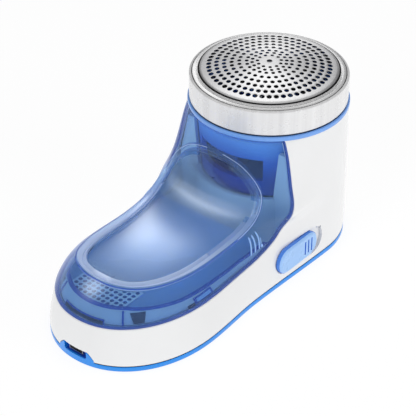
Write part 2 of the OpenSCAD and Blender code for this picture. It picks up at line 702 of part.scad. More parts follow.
blade_z = 70.6;
blade_r = 26.2;
blade_t = 0.7;
carrier_z = 66;
carrier_arm_z = 69;
coupling_z = 57.5;
module cutter_blades() {
  color([0.72, 0.73, 0.75]) intersection() {
    union() {
      rod(blade_z, 7, 1, 48);
      spin(even_turns(blade_count)) box([0, -blade_t / 2, blade_z], [blade_r, blade_t, 9]);
    }
    foil_ball(foil_t + 0.1);
    rod(60, blade_r, 30, fn_fine);
  }
}
module blade_carrier() {
  color([0.30, 0.32, 0.36]) difference() {
    union() {
      rod(carrier_z, 5.4, 4.5, 40);
      rod(carrier_arm_z, 9.5, 1.5, 48);
      spin(even_turns(blade_count)) box([6, -1.6, carrier_arm_z], [14, 3.2, 1.5]);
    }
    box([-2.3, -2.3, carrier_z - 1], [4.6, 4.6, 5.2]);
  }
}
// three turns of 16 steps each
module blade_spring() {
  color([0.7, 0.7, 0.72]) tube([for (i = [0:48]) let (angle = i * 22.5)
    [4.5 * cos(angle), 4.5 * sin(angle), 63.85 + 1.75 * i / 48]], 0.25, 6);
}
module drive_coupling() {
  color([0.85, 0.85, 0.82]) difference() {
    union() {
      rod(coupling_z, 5.4, 6, 40);
      box([-2.2, -2.2, 63.4], [4.4, 4.4, 5.9]);
    }
    shaft_bore(coupling_z - 0.5, 5.2);
  }
}

// ------------------------------------------------------------ motor and fan
shaft_z = 7.9;
fan_z = 36.6;
can_z = 10;
end_cap_z = 7.7;
terminal_x = 9.6;
module motor_shaft() {
  color([0.6, 0.6, 0.62]) rod(shaft_z, shaft_r, 54.2, 30);
}
module impeller() {
  color([0.16, 0.3, 0.62]) difference() {
    union() {
      rod(fan_z, fan_r, 1.2, 72);
      rod(fan_z, 5.2, 13, 40);
      spin(even_turns(fan_blades)) translate([4, -0.6, fan_z + 0.9]) rotate([0, 0, 14])
        cube([fan_r - 5.6, 1.2, 9.5]);
    }
    shaft_bore(fan_z - 0.6, 15);
  }
}
module shaft_seal() {
  color([0.35, 0.35, 0.36]) difference() {
    rod(33.5, 4.6, 1.1, 32);
    rod(33, 1.25, 3, 24);
  }
}
module motor_can() {
  color([0.66, 0.67, 0.69]) difference() {
    union() {
      rod(can_z, motor_r, 21.4, 60);
      rod(31.3, 3, 1.9, 36);
    }
    rod(can_z - 1, motor_r - 0.8, 21.2, 60);
    rod(29, 2, 5, 30);
    spin(motor_screw_angles) translate([motor_screw_ring, 0, 28])
      cylinder(r = 1, h = 6, $fn = 24);
  }
}
module motor_magnets() {
  color([0.25, 0.25, 0.26]) spin([0, 180]) rotate([0, 0, -62]) translate([0, 0, 13])
    rotate_extrude(angle = 124, $fn = 60) translate([motor_r - 3.3, 0]) square([2.4, 15]);
}
module motor_armature() {
  color([0.55, 0.38, 0.22]) translate([0, 0, 14.6]) difference() {
    cylinder(r = motor_r - 3.8, h = 12, $fn = 60);
    spin([0, 120, 240]) box([4.6, -1, -1], [9, 2, 14]);
    shaft_bore(-1, 14);
  }
}
module motor_commutator() {
  color([0.8, 0.5, 0.3]) translate([0, 0, 10.9]) difference() {
    cylinder(r = 2.4, h = 3.4, $fn = 30);
    shaft_bore(-1, 6);
  }
}
module motor_brushes() {
  color([0.3, 0.27, 0.25]) for (s = [-1, 1]) box([s * 4.55 - 2, -1, 11.3], [4, 2, 2.2]);
}
module motor_end_cap() {
  color([0.2, 0.2, 0.22]) difference() {
    union() {
      rod(end_cap_z, motor_r, 2.2, 60);
      rod(end_cap_z + 2.1, motor_r - 0.9, 1.3, 60);
    }
    rod(7, 2, 6, 30);
    rod(10.6, 8, 2, 40);
    for (s = [-1, 1]) box([s * terminal_x - 0.35, -1.3, 7], [0.7, 2.6, 5]);
  }
}
module motor_terminals() {
  color([0.82, 0.7, 0.4]) for (s = [-1, 1])
    box([s * terminal_x - 0.25, -1.2, 5.4], [0.5, 2.4, 5]);
}
module motor_bushes() {
  // z, height
  bushes = [[shaft_z, 2], [30.4, 2.6]];
  color([0.75, 0.6, 0.35]) for (bush = bushes) translate([0, 0, bush[0]]) difference() {
    cylinder(r = 1.93, h = bush[1], $fn = 30);
    rod(-1, shaft_r + 0.03, 6, 30);
  }
}
module motor_screws() {
  color([0.6, 0.6, 0.63]) spin(motor_screw_angles) translate([motor_screw_ring, 0, 34.9])
    rotate([180, 0, 0]) screw(head_r = 2.1, head_h = 1.4, r = 0.95, length = 3.9);
}
module base_screws() {
  color([0.6, 0.6, 0.63]) at_each(boss_at, 0.05)
    screw(head_r = 2.7, head_h = 1.2, r = 1.3, length = 7.6);
}

// ------------------------------------------------------------- electrics
board_z = 2.75;
part_z = 3.7;               // underside of the chips and the port shell
lead_r = 0.5;
board_outline = [[-12, -88.2], [12, -88.2], [12, -106], [9, -110.6], [-9, -110.6], [-12, -106]];
module battery_cell() {
  color([0.25, 0.6, 0.45]) translate([cell_x, cell_back, cell_z]) rotate([90, 0, 0]) union() {
    cylinder(r = cell_r, h = cell_len, $fn = 60);
    rod(cell_len - overlap, 2.6, 0.9, 30);
  }
}
module battery_tabs() {
  color([0.8, 0.8, 0.78]) for (y = [cell_front - 1.2, cell_back + 0.1])
    box([cell_x - 2, y, 6.4], [4, 0.25, 5]);
}
module control_board() {
  color([0.1, 0.4, 0.22]) translate([0, 0, board_z]) linear_extrude(0.9) difference() {
    polygon(board_outline);
    for (p = board_screw_at) translate(p) circle(r = 0.95, $fn = 20);
  }
}
module board_chips() {
  color([0.1, 0.1, 0.12]) {
    box([-3, -100, part_z], [6, 5, 1.4]);
    box([6, -104, part_z], [3, 4, 1.8]);
    box([-9.5, -104, part_z], [2.4, 4.2, 1.2]);
  }
}
module board_screws() {
  color([0.6, 0.6, 0.63]) at_each(board_screw_at, 5) rotate([180, 0, 0])
    screw(head_r = 1.7, head_h = 1.3, r = 0.7, length = 2.5);
}
module usb_shell() {
  color([0.75, 0.76, 0.78]) difference() {
    box([-3.4, -115.4, part_z], [6.8, 5.6, 2.6]);
    box([-3.1, -116, part_z + 0.3], [6.2, 5.9, 2]);
  }
}
module usb_tongue() {
  color([0.12, 0.12, 0.14]) box([-1.9, -114.9, 4.9], [3.8, 4.6, 0.55]);
}

switch_x = 26.5;            // inner face of the slide switch
module switch_board() {
  color([0.1, 0.4, 0.22]) box([25.4, -31, 5.2], [1, 26, 10.9]);
}
module slide_switch_body() {
  color([0.7, 0.71, 0.73]) difference() {
    box([switch_x, knob_y - 6, knob_z - 3], [2.6, 12 + switch_travel, 6]);
    box([switch_x + 1.1, knob_y - 2.6, knob_z - 1.6], [3, 5.2 + switch_travel, 3.2]);
  }
}
module slide_switch_tab() {
  color([0.15, 0.15, 0.17]) box([switch_x + 1.2, knob_y - 2.4, knob_z - 1.4], [2.1, 4.8, 2.8]);
}
module switch_knob() {
  color([0.62, 0.77, 0.97]) difference() {
    union() {
      // three steps, narrowing outwards, and the peg through the slot
      knob_slab(31.15, 1.3, knob_len, knob_h);
      knob_slab(32.4, 0.55, knob_len - 1.4, knob_h - 1.4);
      knob_slab(32.9, 0.45, knob_len - 2.8, knob_h - 2.8);
      box([29.9, knob_y - 2.2, knob_z - 1.7], [1.5, 4.4, 3.4]);
    }
    // grooves
    for (i = [0:2]) box([33, knob_y + 3.6 + 2.1 * i, knob_z - 3], [2, 0.7, 6]);
  }
}
module indicator_lens() {
  color([0.9, 0.92, 0.95]) translate([30.35, light_y, light_z]) rotate([0, 90, 0])
    cylinder(r = 0.65, h = 0.75, $fn = 20);
}
module indicator_led() {
  color([0.85, 0.3, 0.3]) box([switch_x, light_y - 1, light_z - 1], [1.2, 2, 2]);
}
module motor_leads() {
  color([0.75, 0.15, 0.15]) {
    tube([[terminal_x, -1.6, 6], [terminal_x, -4, 5.6], [9, -10, 4.6], [7, -20, 4],
      [6, -40, 4], [6, -70, 4], [6, -86, 4.2], [6.2, -89, 4.6]], lead_r);
    tube([[-terminal_x, -1.6, 6], [-terminal_x, -4, 5.6], [-6, -12, 4.6], [3, -22, 4],
      [3.6, -40, 4], [3.6, -70, 4], [3.6, -86, 4.2], [3.6, -89, 4.6]], lead_r);
  }
}
module battery_leads() {
  color([0.12, 0.12, 0.13]) {
    tube([[cell_x, cell_front - 1.8, 9], [-8.6, cell_front - 2.6, 7],
      [-8, -89, 5], [-6.4, -90, 4.6]], lead_r);
    tube([[cell_x, cell_back + 0.9, 9], [-7, -34.6, 8], [-1, -35, 5.4], [0.6, -38, 4.2],
      [1, -50, 4], [1, -86, 4.2], [0.8, -89, 4.6]], lead_r);
  }
}

main_housing();
base_plate();
inner_frame();
lint_bin();
bin_floor();
lint_filter();
bin_catches();
head_base();
foil();
foil_rim();
guard_ring();
cutter_blades();
blade_carrier();
blade_spring();
drive_coupling();
motor_shaft();
impeller();
shaft_seal();
motor_can();
motor_magnets();
motor_armature();
motor_commutator();
motor_brushes();
motor_end_cap();
motor_terminals();
motor_bushes();
motor_screws();
base_screws();
battery_cell();
battery_tabs();
control_board();
board_chips();
board_screws();
usb_shell();
usb_tongue();
switch_board();
slide_switch_body();
slide_switch_tab();
switch_knob();
indicator_lens();
indicator_led();
motor_leads();
battery_leads();
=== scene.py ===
"""Lint remover standing on its base plate.

The round head stands on the Z axis with the foil on top. The body runs from the heel at +Y
to the toe at -Y. The clear lint bin covers the -Y side of the head and the top of the toe,
and the switch knob is on the +X side. Shapes are in millimetres; materials, lights and the
camera are in metres.
"""
import math
from functools import lru_cache

import bmesh
import bpy
import numpy as np
from mathutils import Matrix, Vector
from mathutils.geometry import delaunay_2d_cdt


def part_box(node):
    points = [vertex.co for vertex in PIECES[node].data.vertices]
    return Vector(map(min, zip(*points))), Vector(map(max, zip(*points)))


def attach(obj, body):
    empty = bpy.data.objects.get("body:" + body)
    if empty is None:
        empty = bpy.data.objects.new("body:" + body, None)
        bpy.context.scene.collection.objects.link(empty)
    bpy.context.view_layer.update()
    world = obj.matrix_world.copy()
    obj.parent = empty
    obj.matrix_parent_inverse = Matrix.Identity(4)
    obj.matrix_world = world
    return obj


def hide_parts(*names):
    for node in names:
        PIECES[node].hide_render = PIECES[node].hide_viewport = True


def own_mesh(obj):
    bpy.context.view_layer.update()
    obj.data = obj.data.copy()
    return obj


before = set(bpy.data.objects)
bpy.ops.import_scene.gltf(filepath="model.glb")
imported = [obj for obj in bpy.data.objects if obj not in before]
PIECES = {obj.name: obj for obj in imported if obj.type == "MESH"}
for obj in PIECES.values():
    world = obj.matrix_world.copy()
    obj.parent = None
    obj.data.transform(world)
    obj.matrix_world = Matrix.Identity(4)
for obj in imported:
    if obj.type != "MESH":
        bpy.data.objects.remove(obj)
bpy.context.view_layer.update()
MM = 0.001
MIRROR = np.array([-1, 1, 1.0])

# ---------------------------------------------------------------- body dimensions
BASE_RADIUS = 32.6                # heel at the base
TOP_RADIUS, TOP_Z = 32.2, 60.6    # top of the column under the head
WAIST_HALF, WAIST_Y = 31.7, 47.0  # half width of the body and its distance from the axis
BROAD_HALF, BROAD_Y = 33.1, 75.0  # widest place, where the toe curve starts
TOE_Y, TOE_POWER = 116.4, 2.12    # tip of the toe, superellipse exponent of its curve
FLANK_SHARE = 0.45                # share of the half outline that is flank, not toe
DRAFT_RUN = 60                    # the side draft grows to its full value over this run
WALL, BIN_WALL, GAP = 2.0, 1.6, 0.15
ANKLE_Y, ANKLE_Z = -26.2, 29.3    # where the parting line turns onto the sole
SOLE_LOW = 17.9                   # level part of the sole line

# Stations along the parting line of casing and bin, from the middle of the head round to
# the middle of the toe: over the top, down the ankle, along the sole, round the toe.
TOP_END, ANKLE_END, TOE_START, LAST = 4, 8, 13, 19
SLOPE_STEP = 0.02                 # station step for slopes by differences

# y, z down the ankle, one row per station
ANKLE = [(-21.1, TOP_Z), (-21.3, 52), (-21.9, 42.5), (-23, 34.6), (ANKLE_Y, ANKLE_Z)]
# y (flank only) and z along the sole, one value per station
SOLE_Y = [ANKLE_Y, -32.5, -43, -54, -65, -75]
SOLE_Z = [ANKLE_Z, SOLE_LOW + 5.3, SOLE_LOW + 1.6, SOLE_LOW + 0.3] + [SOLE_LOW] * 8
CORNER = math.acos(-ANKLE[0][0] / TOP_RADIUS)
# x, y, z of the crest round the bin's dish, one row per station
RIM = np.array([
    (0, -33.9, 52.1), (6.5, -33.7, 51.4), (12.6, -33.1, 49.4), (17.6, -32.6, 45.8),
    (20.8, -32.5, 42.2), (22.4, -33.1, 39.6), (23.4, -34.8, 37), (24, -37.2, 34.4),
    (24.2, -40.8, 32), (23.8, -46, 29.8), (23.2, -52.5, 28.5), (22.8, -60, 27.8),
    (22.6, -68, 27.6), (22.2, -76, 28), (21, -84.5, 28.9), (18.4, -92.3, 29.8),
    (14.6, -97.7, 30.4), (10.2, -100.6, 30.6), (5.2, -102.2, 30.7), (0, -102.6, 30.8)], float)
# y, z of the middle line of the dish
DISH_MIDDLE = np.array([
    (-33.9, 52.1), (-34.2, 49.5), (-34.8, 47), (-35.5, 44.3), (-36.3, 42), (-37.2, 39.7),
    (-38.4, 37.4), (-40, 34.8), (-43, 31.4), (-47.5, 28.4), (-53, 26.4), (-60, 25.1),
    (-68, 24.6), (-76, 24.8), (-84.5, 25.7), (-91.5, 27), (-96.5, 28.4), (-99.8, 29.5),
    (-101.9, 30.3), (-102.6, 30.8)], float)
# outward bulge of the shoulder between parting line and crest, per station
BULGE = [0.2, 0.2, 0.3, 0.4, 0.4, 0.3, 0.3, 0.5, 0.9, 1.4, 1.8, 2] + [2.1] * 8

KNOB_LENGTH, KNOB_HEIGHT, KNOB_TRAVEL = 25, 11.6, 3.6
KNOB_Y, KNOB_Z = -21.25, 11.3


# ---------------------------------------------------------------- body surface
def lerp(start, end, share):
    return start + (end - start) * share


def clamp(value, low=0.0, high=1.0):
    return np.minimum(high, np.maximum(low, value))


def smooth(value):
    value = clamp(value)
    return value * value * (3 - 2 * value)


def ease(run_0, width_0, run_1, width_1, run):
    return width_0 + (width_1 - width_0) * smooth((run - run_0) / (run_1 - run_0))


def unit(vectors):
    return vectors / np.maximum(np.linalg.norm(vectors, axis=-1, keepdims=True), 1e-9)


def facing_out(vectors, x_sign=1):
    """Unit vectors turned to the +X, -Y, +Z side."""
    vectors = unit(vectors)
    lean = vectors[..., 0:1] * x_sign - vectors[..., 1:2] + vectors[..., 2:3]
    return np.where(lean < 0, -vectors, vectors)


def draft(z):
    return 2.7 * (np.maximum(0, z - 4) / 15.3) ** 1.4


def column_radius(z):
    return lerp(BASE_RADIUS, TOP_RADIUS, clamp(z / TOP_Z))


def plan(share):
    """Half outline of the base: the flank, then the toe curve."""
    angle = clamp((share - FLANK_SHARE) / (1 - FLANK_SHARE)) * np.pi / 2
    run = BROAD_Y * share / FLANK_SHARE
    flank_x = np.where(run < WAIST_Y, ease(0, BASE_RADIUS, WAIST_Y, WAIST_HALF, run),
                       ease(WAIST_Y, WAIST_HALF, BROAD_Y, BROAD_HALF, run))
    power = 2 / TOE_POWER
    x = np.where(share < FLANK_SHARE, flank_x, BROAD_HALF * np.cos(angle) ** power)
    toe_y = -BROAD_Y - (TOE_Y - BROAD_Y) * np.sin(angle) ** power
    return x, np.where(share < FLANK_SHARE, -run, toe_y)


def band(z, share):
    """The base outline drawn in by the draft at height z."""
    x, y = plan(share)
    inset = draft(z) * clamp(-y / DRAFT_RUN)
    taper = (TOP_RADIUS - BASE_RADIUS) * clamp(z / TOP_Z) * (1 - clamp(share))
    return x * (1 - inset / BROAD_HALF) + taper, y * (1 - inset / TOE_Y)


def column_x(z, y):
    """Half width of the column, which flares towards -Y as it goes down."""
    drop = clamp((TOP_Z - z) / 30.6)
    depth = TOP_RADIUS + 8.2 * drop ** 1.25 + 8 * drop ** 8
    power = 2 + 0.95 * drop ** 0.8 + 2.5 * drop ** 6
    return column_radius(z) * (1 - clamp(-y / depth, 0, 0.9999) ** power) ** (1 / power)


def flank(z, y):
    """Half width of the body, blending from the base band into the column."""
    low = band(z, -y * FLANK_SHARE / BROAD_Y)[0]
    return lerp(low, column_x(z, y), smooth((z - 24) / 8))


def side(z, share):
    z, share = np.broadcast_arrays(np.asarray(z, float), np.asarray(share, float))
    run_y = -BROAD_Y * share / FLANK_SHARE
    toe_x, toe_y = band(z, share)
    x = np.where(share < FLANK_SHARE, flank(z, np.minimum(run_y, 0)), toe_x)
    drawn_y = run_y * (1 - draft(z) * clamp(-run_y / DRAFT_RUN) / TOE_Y)
    return x, np.where(share < FLANK_SHARE, drawn_y, toe_y)


def through(table, place, mirror=False):
    """Catmull-Rom curve through the rows of a table; mirror continues it across x = 0."""
    table = np.asarray(table, float)
    if table.ndim == 1:
        table = table[:, None]
    place = np.asarray(place, float)
    row = np.clip(np.floor(place).astype(int), 0, len(table) - 2)
    part = (place - row)[:, None]
    if mirror:
        padded = np.vstack([table[1] * MIRROR, table, table[-2] * MIRROR])
    else:
        padded = np.vstack([2 * table[0] - table[1], table, 2 * table[-1] - table[-2]])
    before, start, end, after = (padded[row + i] for i in range(4))
    return 0.5 * ((2 * start) + (end - before) * part
                  + (2 * before - 5 * start + 4 * end - after) * part ** 2
                  + (3 * start - before - 3 * end + after) * part ** 3)


def sole_share(station):
    station = np.asarray(station, float)
    y = through(SOLE_Y, np.clip(station - ANKLE_END, 0, TOE_START - ANKLE_END))[:, 0]
    toe = FLANK_SHARE + (1 - FLANK_SHARE) * (station - TOE_START) / (LAST - TOE_START)
    return np.where(station <= TOE_START, -y * FLANK_SHARE / BROAD_Y, toe)


def sole_height(station):
    place = np.clip(np.asarray(station, float) - ANKLE_END, 0, LAST - ANKLE_END)
    return through(SOLE_Z, place)[:, 0]


def parting(station):
    """Points of the parting line between casing and bin."""
    station = np.atleast_1d(np.asarray(station, float))
    angle = station / TOP_END * CORNER
    top = np.stack([TOP_RADIUS * np.sin(angle), -TOP_RADIUS * np.cos(angle),
                    0 * angle + TOP_Z], 1)
    ankle = through(ANKLE, np.clip(station - TOP_END, 0, ANKLE_END - TOP_END))
    middle = np.stack([flank(ankle[:, 1], ankle[:, 0]), ankle[:, 0], ankle[:, 1]], 1)
    z = sole_height(station)
    x, y = side(z, sole_share(station))
    low = np.stack([x, y, z], 1)
    station = station[:, None]
    return np.where(station <= TOP_END, top, np.where(station <= ANKLE_END, middle, low))


def bin_edge(station):
    """The parting line moved off the casing by the gap."""
    station = np.atleast_1d(np.asarray(station, float))
    points = parting(station)
    points[:, 1] -= np.where(station >= TOP_END, GAP, 0)
    points[:, 2] += np.where(station <= TOP_END, -GAP, GAP)
    return points


def shoulder(station, across):
    """Bin skin between parting line (across 0) and crest (across 1), for matched arrays."""
    station = np.asarray(station, float)
    across = np.asarray(across, float)[:, None]
    back = np.maximum(0, station - SLOPE_STEP)
    ahead = np.minimum(LAST, station + SLOPE_STEP)
    low, high = bin_edge(station), through(RIM, station, True)
    run = (unit(parting(ahead) - parting(back))
           + unit(through(RIM, ahead, True) - through(RIM, back, True)))
    normal = facing_out(np.cross(high - low, run))
    control = (low + high) / 2 + through(BULGE, station)[:, :1] * normal
    return ((1 - across) ** 2 * low + 2 * across * (1 - across) * control
            + across * across * high)


# ---------------------------------------------------------------- mesh helpers
# Plane directions of an outline, then the direction it is extruded in
ALONG_X = ((0, 1, 0), (0, 0, 1), (1, 0, 0))
ALONG_Y = ((1, 0, 0), (0, 0, 1), (0, 1, 0))
ALONG_Z = ((1, 0, 0), (0, 1, 0), (0, 0, 1))


def shade(body, angle):
    body.data.shade_smooth()
    body.data.set_sharp_from_angle(angle=math.radians(angle))


def make(name, verts, faces, materials=(), angle=35, attributes=None):
    """Mesh object from millimetre points, with normals made consistent."""
    mesh = bpy.data.meshes.new(name)
    mesh.from_pydata([tuple(point) for point in np.asarray(verts, float) * MM], [],
                     [tuple(int(i) for i in face) for face in faces])
    mesh.validate()
    body = bpy.data.objects.new(name, mesh)
    bpy.context.scene.collection.objects.link(body)
    work = bmesh.new()
    work.from_mesh(mesh)
    for key, values in (attributes or {}).items():
        layer = work.verts.layers.float.new(key)
        for vert, value in zip(work.verts, values):
            vert[layer] = float(value)
    bmesh.ops.recalc_face_normals(work, faces=work.faces)
    work.to_mesh(mesh)
    work.free()
    shade(body, angle)
    for material in materials:
        mesh.materials.append(material)
    return body


def cut(body, cutters, operation="DIFFERENCE"):
    """Apply boolean cutters to a body and remove them."""
    for cutter in cutters:
        modifier = body.modifiers.new("cut", "BOOLEAN")
        modifier.operation = operation
        modifier.solver = "EXACT"
        modifier.object = cutter
    evaluated = body.evaluated_get(bpy.context.evaluated_depsgraph_get())
    mesh = bpy.data.meshes.new_from_object(evaluated)
    old = body.data
    body.modifiers.clear()
    body.data = mesh
    mesh.name = body.name
    bpy.data.meshes.remove(old)
    for cutter in cutters:
        bpy.data.objects.remove(cutter, do_unlink=True)


def place(bodies, group, slot, replaces=None):
    if replaces:
        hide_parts(replaces)
    for body in bodies:
        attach(body, group)


def loop_faces(rows, columns, wrap=False, along=False):
    """Quads over rows of closed loops; wrap joins the last row to the first."""
    faces = []
    for row in range(rows if wrap else rows - 1):
        here, below = row * columns, (row + 1) % rows * columns
        for column in range(columns):
            after = (column + 1) % columns
            face = (here + column, here + after, below + after, below + column)
            faces.append(face[:1] + face[:0:-1] if along else face)
    return faces


def end_caps(rows, columns, step=-1):
    first = tuple(range(columns))
    last = tuple(range((rows - 1) * columns, rows * columns))
    return [first[::step], last[::-step]]


def strip(lower, upper, stop, start=0, step=1):
    """Quads between two index rows."""
    return [(lower[i], lower[i + 1], upper[i + 1], upper[i])[::step]
            for i in range(start, stop)]


def lathe(name, profile, segments, material, angle=40):
    """Closed (radius, z) profile turned round the Z axis."""
    profile = np.asarray(profile, float)
    turn = np.linspace(0, 2 * np.pi, segments, endpoint=False)
    verts = np.stack([np.outer(np.cos(turn), profile[:, 0]),
                      np.outer(np.sin(turn), profile[:, 0]),
                      np.tile(profile[:, 1], (segments, 1))], 2).reshape(-1, 3)
    faces = loop_faces(segments, len(profile), wrap=True, along=True)
    return make(name, verts, faces, [material], angle)


def rect(left, low, right, high):
    return [(left, low), (right, low), (right, high), (left, high)]


def circle(x, y, radius, count, phase=0.0):
    angles = [2 * math.pi * i / count + phase for i in range(count)]
    return [(x + radius * math.cos(angle), y + radius * math.sin(angle)) for angle in angles]


def stadium(length, height, count=20):
    angle = np.linspace(-np.pi / 2, np.pi / 2, count)
    radius = height / 2
    right = np.stack([(length - height) / 2 + radius * np.cos(angle),
                      radius * np.sin(angle)], 1)
    return np.vstack([right, -right])


def rounded(corners, radii, segments=5):
    """Closed polygon with rounded corners; radii is one number or one per corner."""
    corners = [np.asarray(corner, float) for corner in corners]
    if not hasattr(radii, "__len__"):
        radii = [radii] * len(corners)
    outline = []
    for i, (corner, radius) in enumerate(zip(corners, radii)):
        if radius <= 0:
            outline.append(corner)
            continue
        back, ahead = corners[i - 1] - corner, corners[(i + 1) % len(corners)] - corner
        back_length, ahead_length = np.linalg.norm(back), np.linalg.norm(ahead)
        back, ahead = back / back_length, ahead / ahead_length
        angle = math.acos(max(-1, min(1, float(back @ ahead))))
        reach = min(radius / math.tan(angle / 2), 0.48 * back_length, 0.48 * ahead_length)
        start, end = corner + back * reach, corner + ahead * reach
        for j in range(segments + 1):
            part = j / segments
            outline.append((1 - part) ** 2 * start + 2 * part * (1 - part) * corner
                           + part * part * end)
    return np.array(outline)


def inward_normals(outline):
    after = np.roll(outline, -1, 0)
    run = after - np.roll(outline, 1, 0)
    run /= np.linalg.norm(run, axis=1)[:, None]
    winding = np.sign(np.sum(outline[:, 0] * after[:, 1] - outline[:, 1] * after[:, 0]))
    return winding * np.stack([-run[:, 1], run[:, 0]], 1)


def prism(name, outline, origin, axes, height, materials=(), angle=30, bevel=0.0):
    """Outline extruded along the third of the axes; bevel rounds both ends."""
    outline = np.asarray(outline, float)
    inward = inward_normals(outline)
    across, upward, out = np.asarray(axes, float)
    levels = [(0, 0)]
    if bevel > 0:
        levels = [(bevel * (1 - math.sin(turn)), bevel * (1 - math.cos(turn)))
                  for turn in np.linspace(0, np.pi / 2, 4)]
    levels += [(inset, height - rise) for inset, rise in reversed(levels)]
    verts = []
    for inset, rise in levels:
        loop = outline + inset * inward
        verts.append(np.asarray(origin, float) + loop[:, :1] * across
                     + loop[:, 1:] * upward + rise * out)
    size = len(levels), len(outline)
    return make(name, np.vstack(verts), loop_faces(*size) + end_caps(*size), materials, angle)


def tube(name, path, radius, material, sides):
    path = np.asarray(path, float)
    count = len(path)
    tangent = unit(np.gradient(path, axis=0))
    radius = np.broadcast_to(np.asarray(radius, float), (count,))
    guide = np.array([0, 0, 1.0]) if abs(tangent[0][2]) < 0.9 else np.array([1.0, 0, 0])
    normal = np.zeros_like(tangent)
    current = unit(np.cross(guide, tangent[0]))
    for i in range(count):
        current = unit(current - tangent[i] * (current @ tangent[i]))
        normal[i] = current
    binormal = np.cross(tangent, normal)
    turn = np.linspace(0, 2 * np.pi, sides, endpoint=False)
    ring = (np.cos(turn)[None, :, None] * normal[:, None]
            + np.sin(turn)[None, :, None] * binormal[:, None])
    verts = (path[:, None] + radius[:, None, None] * ring).reshape(-1, 3)
    faces = loop_faces(count, sides, along=True) + end_caps(count, sides, 1)
    return make(name, verts, faces, [material], 60)


def drop_unused(points, faces):
    used = sorted({i for face in faces for i in face})
    renumbered = {old: new for new, old in enumerate(used)}
    return points[used], [tuple(renumbered[i] for i in face) for face in faces]


def punched(loops, holes):
    """Triangulated flat sheet through the loops, open inside the (x, y, radius) holes."""
    points, edges = [], []
    for loop in loops:
        base = len(points)
        points.extend(loop)
        edges.extend((base + i, base + (i + 1) % len(loop)) for i in range(len(loop)))
    found = delaunay_2d_cdt([Vector(point) for point in points], edges, [], 1, 1e-5)
    points = np.array([(point[0], point[1]) for point in found[0]])
    faces = [tuple(face) for face in found[2]
             if hole_distance(points[list(face)].mean(0)[None], holes)[0] > -1e-4]
    return drop_unused(points, faces)


def hole_distance(points, holes):
    """Distance of each point from the nearest hole edge, negative inside."""
    gaps = np.hypot(holes[:, 0][None] - points[:, 0][:, None],
                    holes[:, 1][None] - points[:, 1][:, None]) - holes[:, 2][None]
    return np.min(gaps, 1)


def sheet_faces(faces, count):
    """A sheet, its reversed lower copy and the walls along its open edges."""
    owners = {}
    for face in faces:
        for edge in zip(face, face[1:] + face[:1]):
            owners.setdefault(tuple(sorted(edge)), []).append(edge)
    lower = [tuple(count + i for i in reversed(face)) for face in faces]
    walls = [(end, start, count + start, count + end)
             for (start, end), *others in owners.values() if not others]
    return faces + lower + walls


# ---------------------------------------------------------------- materials
class Shader:
    """Node tree of a material or world being built; most methods return an output socket."""

    def __init__(self, owner):
        owner.use_nodes = True
        self.tree = owner.node_tree
        self.tree.nodes.clear()

    def node(self, kind, inputs=None, **settings):
        """Add a node; inputs hold plain values or the sockets that feed them."""
        node = self.tree.nodes.new("ShaderNode" + kind)
        for key, value in settings.items():
            setattr(node, key, value)
        for key, value in (inputs or {}).items():
            if isinstance(value, bpy.types.NodeSocket):
                self.tree.links.new(value, node.inputs[key])
            else:
                node.inputs[key].default_value = value
        return node

    def add(self, kind, inputs=None, **settings):
        return self.node(kind, inputs, **settings).outputs[0]

    def coords(self, kind="Object"):
        return self.node("TexCoord").outputs[kind]

    def scaled(self, scale=(1, 1, 1)):
        return self.add("Mapping", {"Vector": self.coords(), "Scale": scale})

    def split(self, vector):
        return self.node("SeparateXYZ", {0: vector}).outputs

    def noise(self, point, scale, detail=3, rough=0.5):
        return self.node("TexNoise", {"Vector": point, "Scale": scale, "Detail": detail,
                                      "Roughness": rough}).outputs["Fac"]

    def remap(self, value, source, target):
        return self.add("MapRange", {0: value, 1: source[0], 2: source[1],
                                     3: target[0], 4: target[1]})

    def math(self, operation, *values, clamped=False):
        return self.add("Math", dict(enumerate(values)), operation=operation,
                        use_clamp=clamped)

    def multiply(self, one, other):
        return self.math("MULTIPLY", one, other)

    def without(self, value):
        """One minus the value."""
        return self.math("SUBTRACT", 1.0, value)

    def mix(self, factor, one, other, blend="MIX"):
        one, other = ((*value, 1) if isinstance(value, tuple) else value
                      for value in (one, other))
        return self.node("Mix", {0: factor, 6: one, 7: other}, data_type="RGBA",
                         blend_type=blend).outputs[2]

    def mix_shader(self, factor, one, other):
        return self.add("MixShader", {0: factor, 1: one, 2: other})

    def ramp(self, factor, stops):
        node = self.node("ValToRGB", {"Fac": factor})
        elements = node.color_ramp.elements
        while len(elements) > 1:
            elements.remove(elements[-1])
        elements[0].position = stops[0][0]
        elements[0].color = (*stops[0][1], 1)
        for position, colour in stops[1:]:
            elements.new(position).color = (*colour, 1)
        return node.outputs["Color"]

    def colour(self, colour, factor, vary):
        """A painter's result, or an RGB tuple varied both ways by the factor."""
        if callable(colour):
            return colour(self)
        low = tuple(channel * (1 - vary) for channel in colour)
        high = tuple(min(1, channel * (1 + vary)) for channel in colour)
        return self.ramp(factor(), [(0.3, low), (0.7, high)])

    def bump(self, height, strength, distance):
        return self.add("Bump", {"Height": height, "Strength": strength,
                                 "Distance": distance})

    def output(self, surface, kind="OutputMaterial"):
        self.node(kind, {"Surface": surface})


def plastic(name, colour, rough=0.25, vary=0.03, grain=0.02, coat=0.0, spec=0.5,
            metallic=0.0, grain_scale=2500):
    """Moulded plastic; colour is an RGB tuple or a painter (see below)."""
    material = bpy.data.materials.new(name)
    shader = Shader(material)
    point = shader.scaled()
    base = shader.colour(colour, lambda: shader.noise(point, scale=60), vary)
    roughness = shader.remap(shader.noise(point, scale=220, detail=4), (0.3, 0.7),
                             (max(0.02, rough - 0.03), rough + 0.04))
    grains = shader.noise(point, scale=grain_scale, detail=2)
    shader.output(shader.add("BsdfPrincipled", {
        "Base Color": base, "Roughness": roughness,
        "Normal": shader.bump(grains, strength=grain, distance=0.00005),
        "Metallic": metallic, "Specular IOR Level": spec,
        "Coat Weight": coat, "Coat Roughness": 0.04}))
    return material


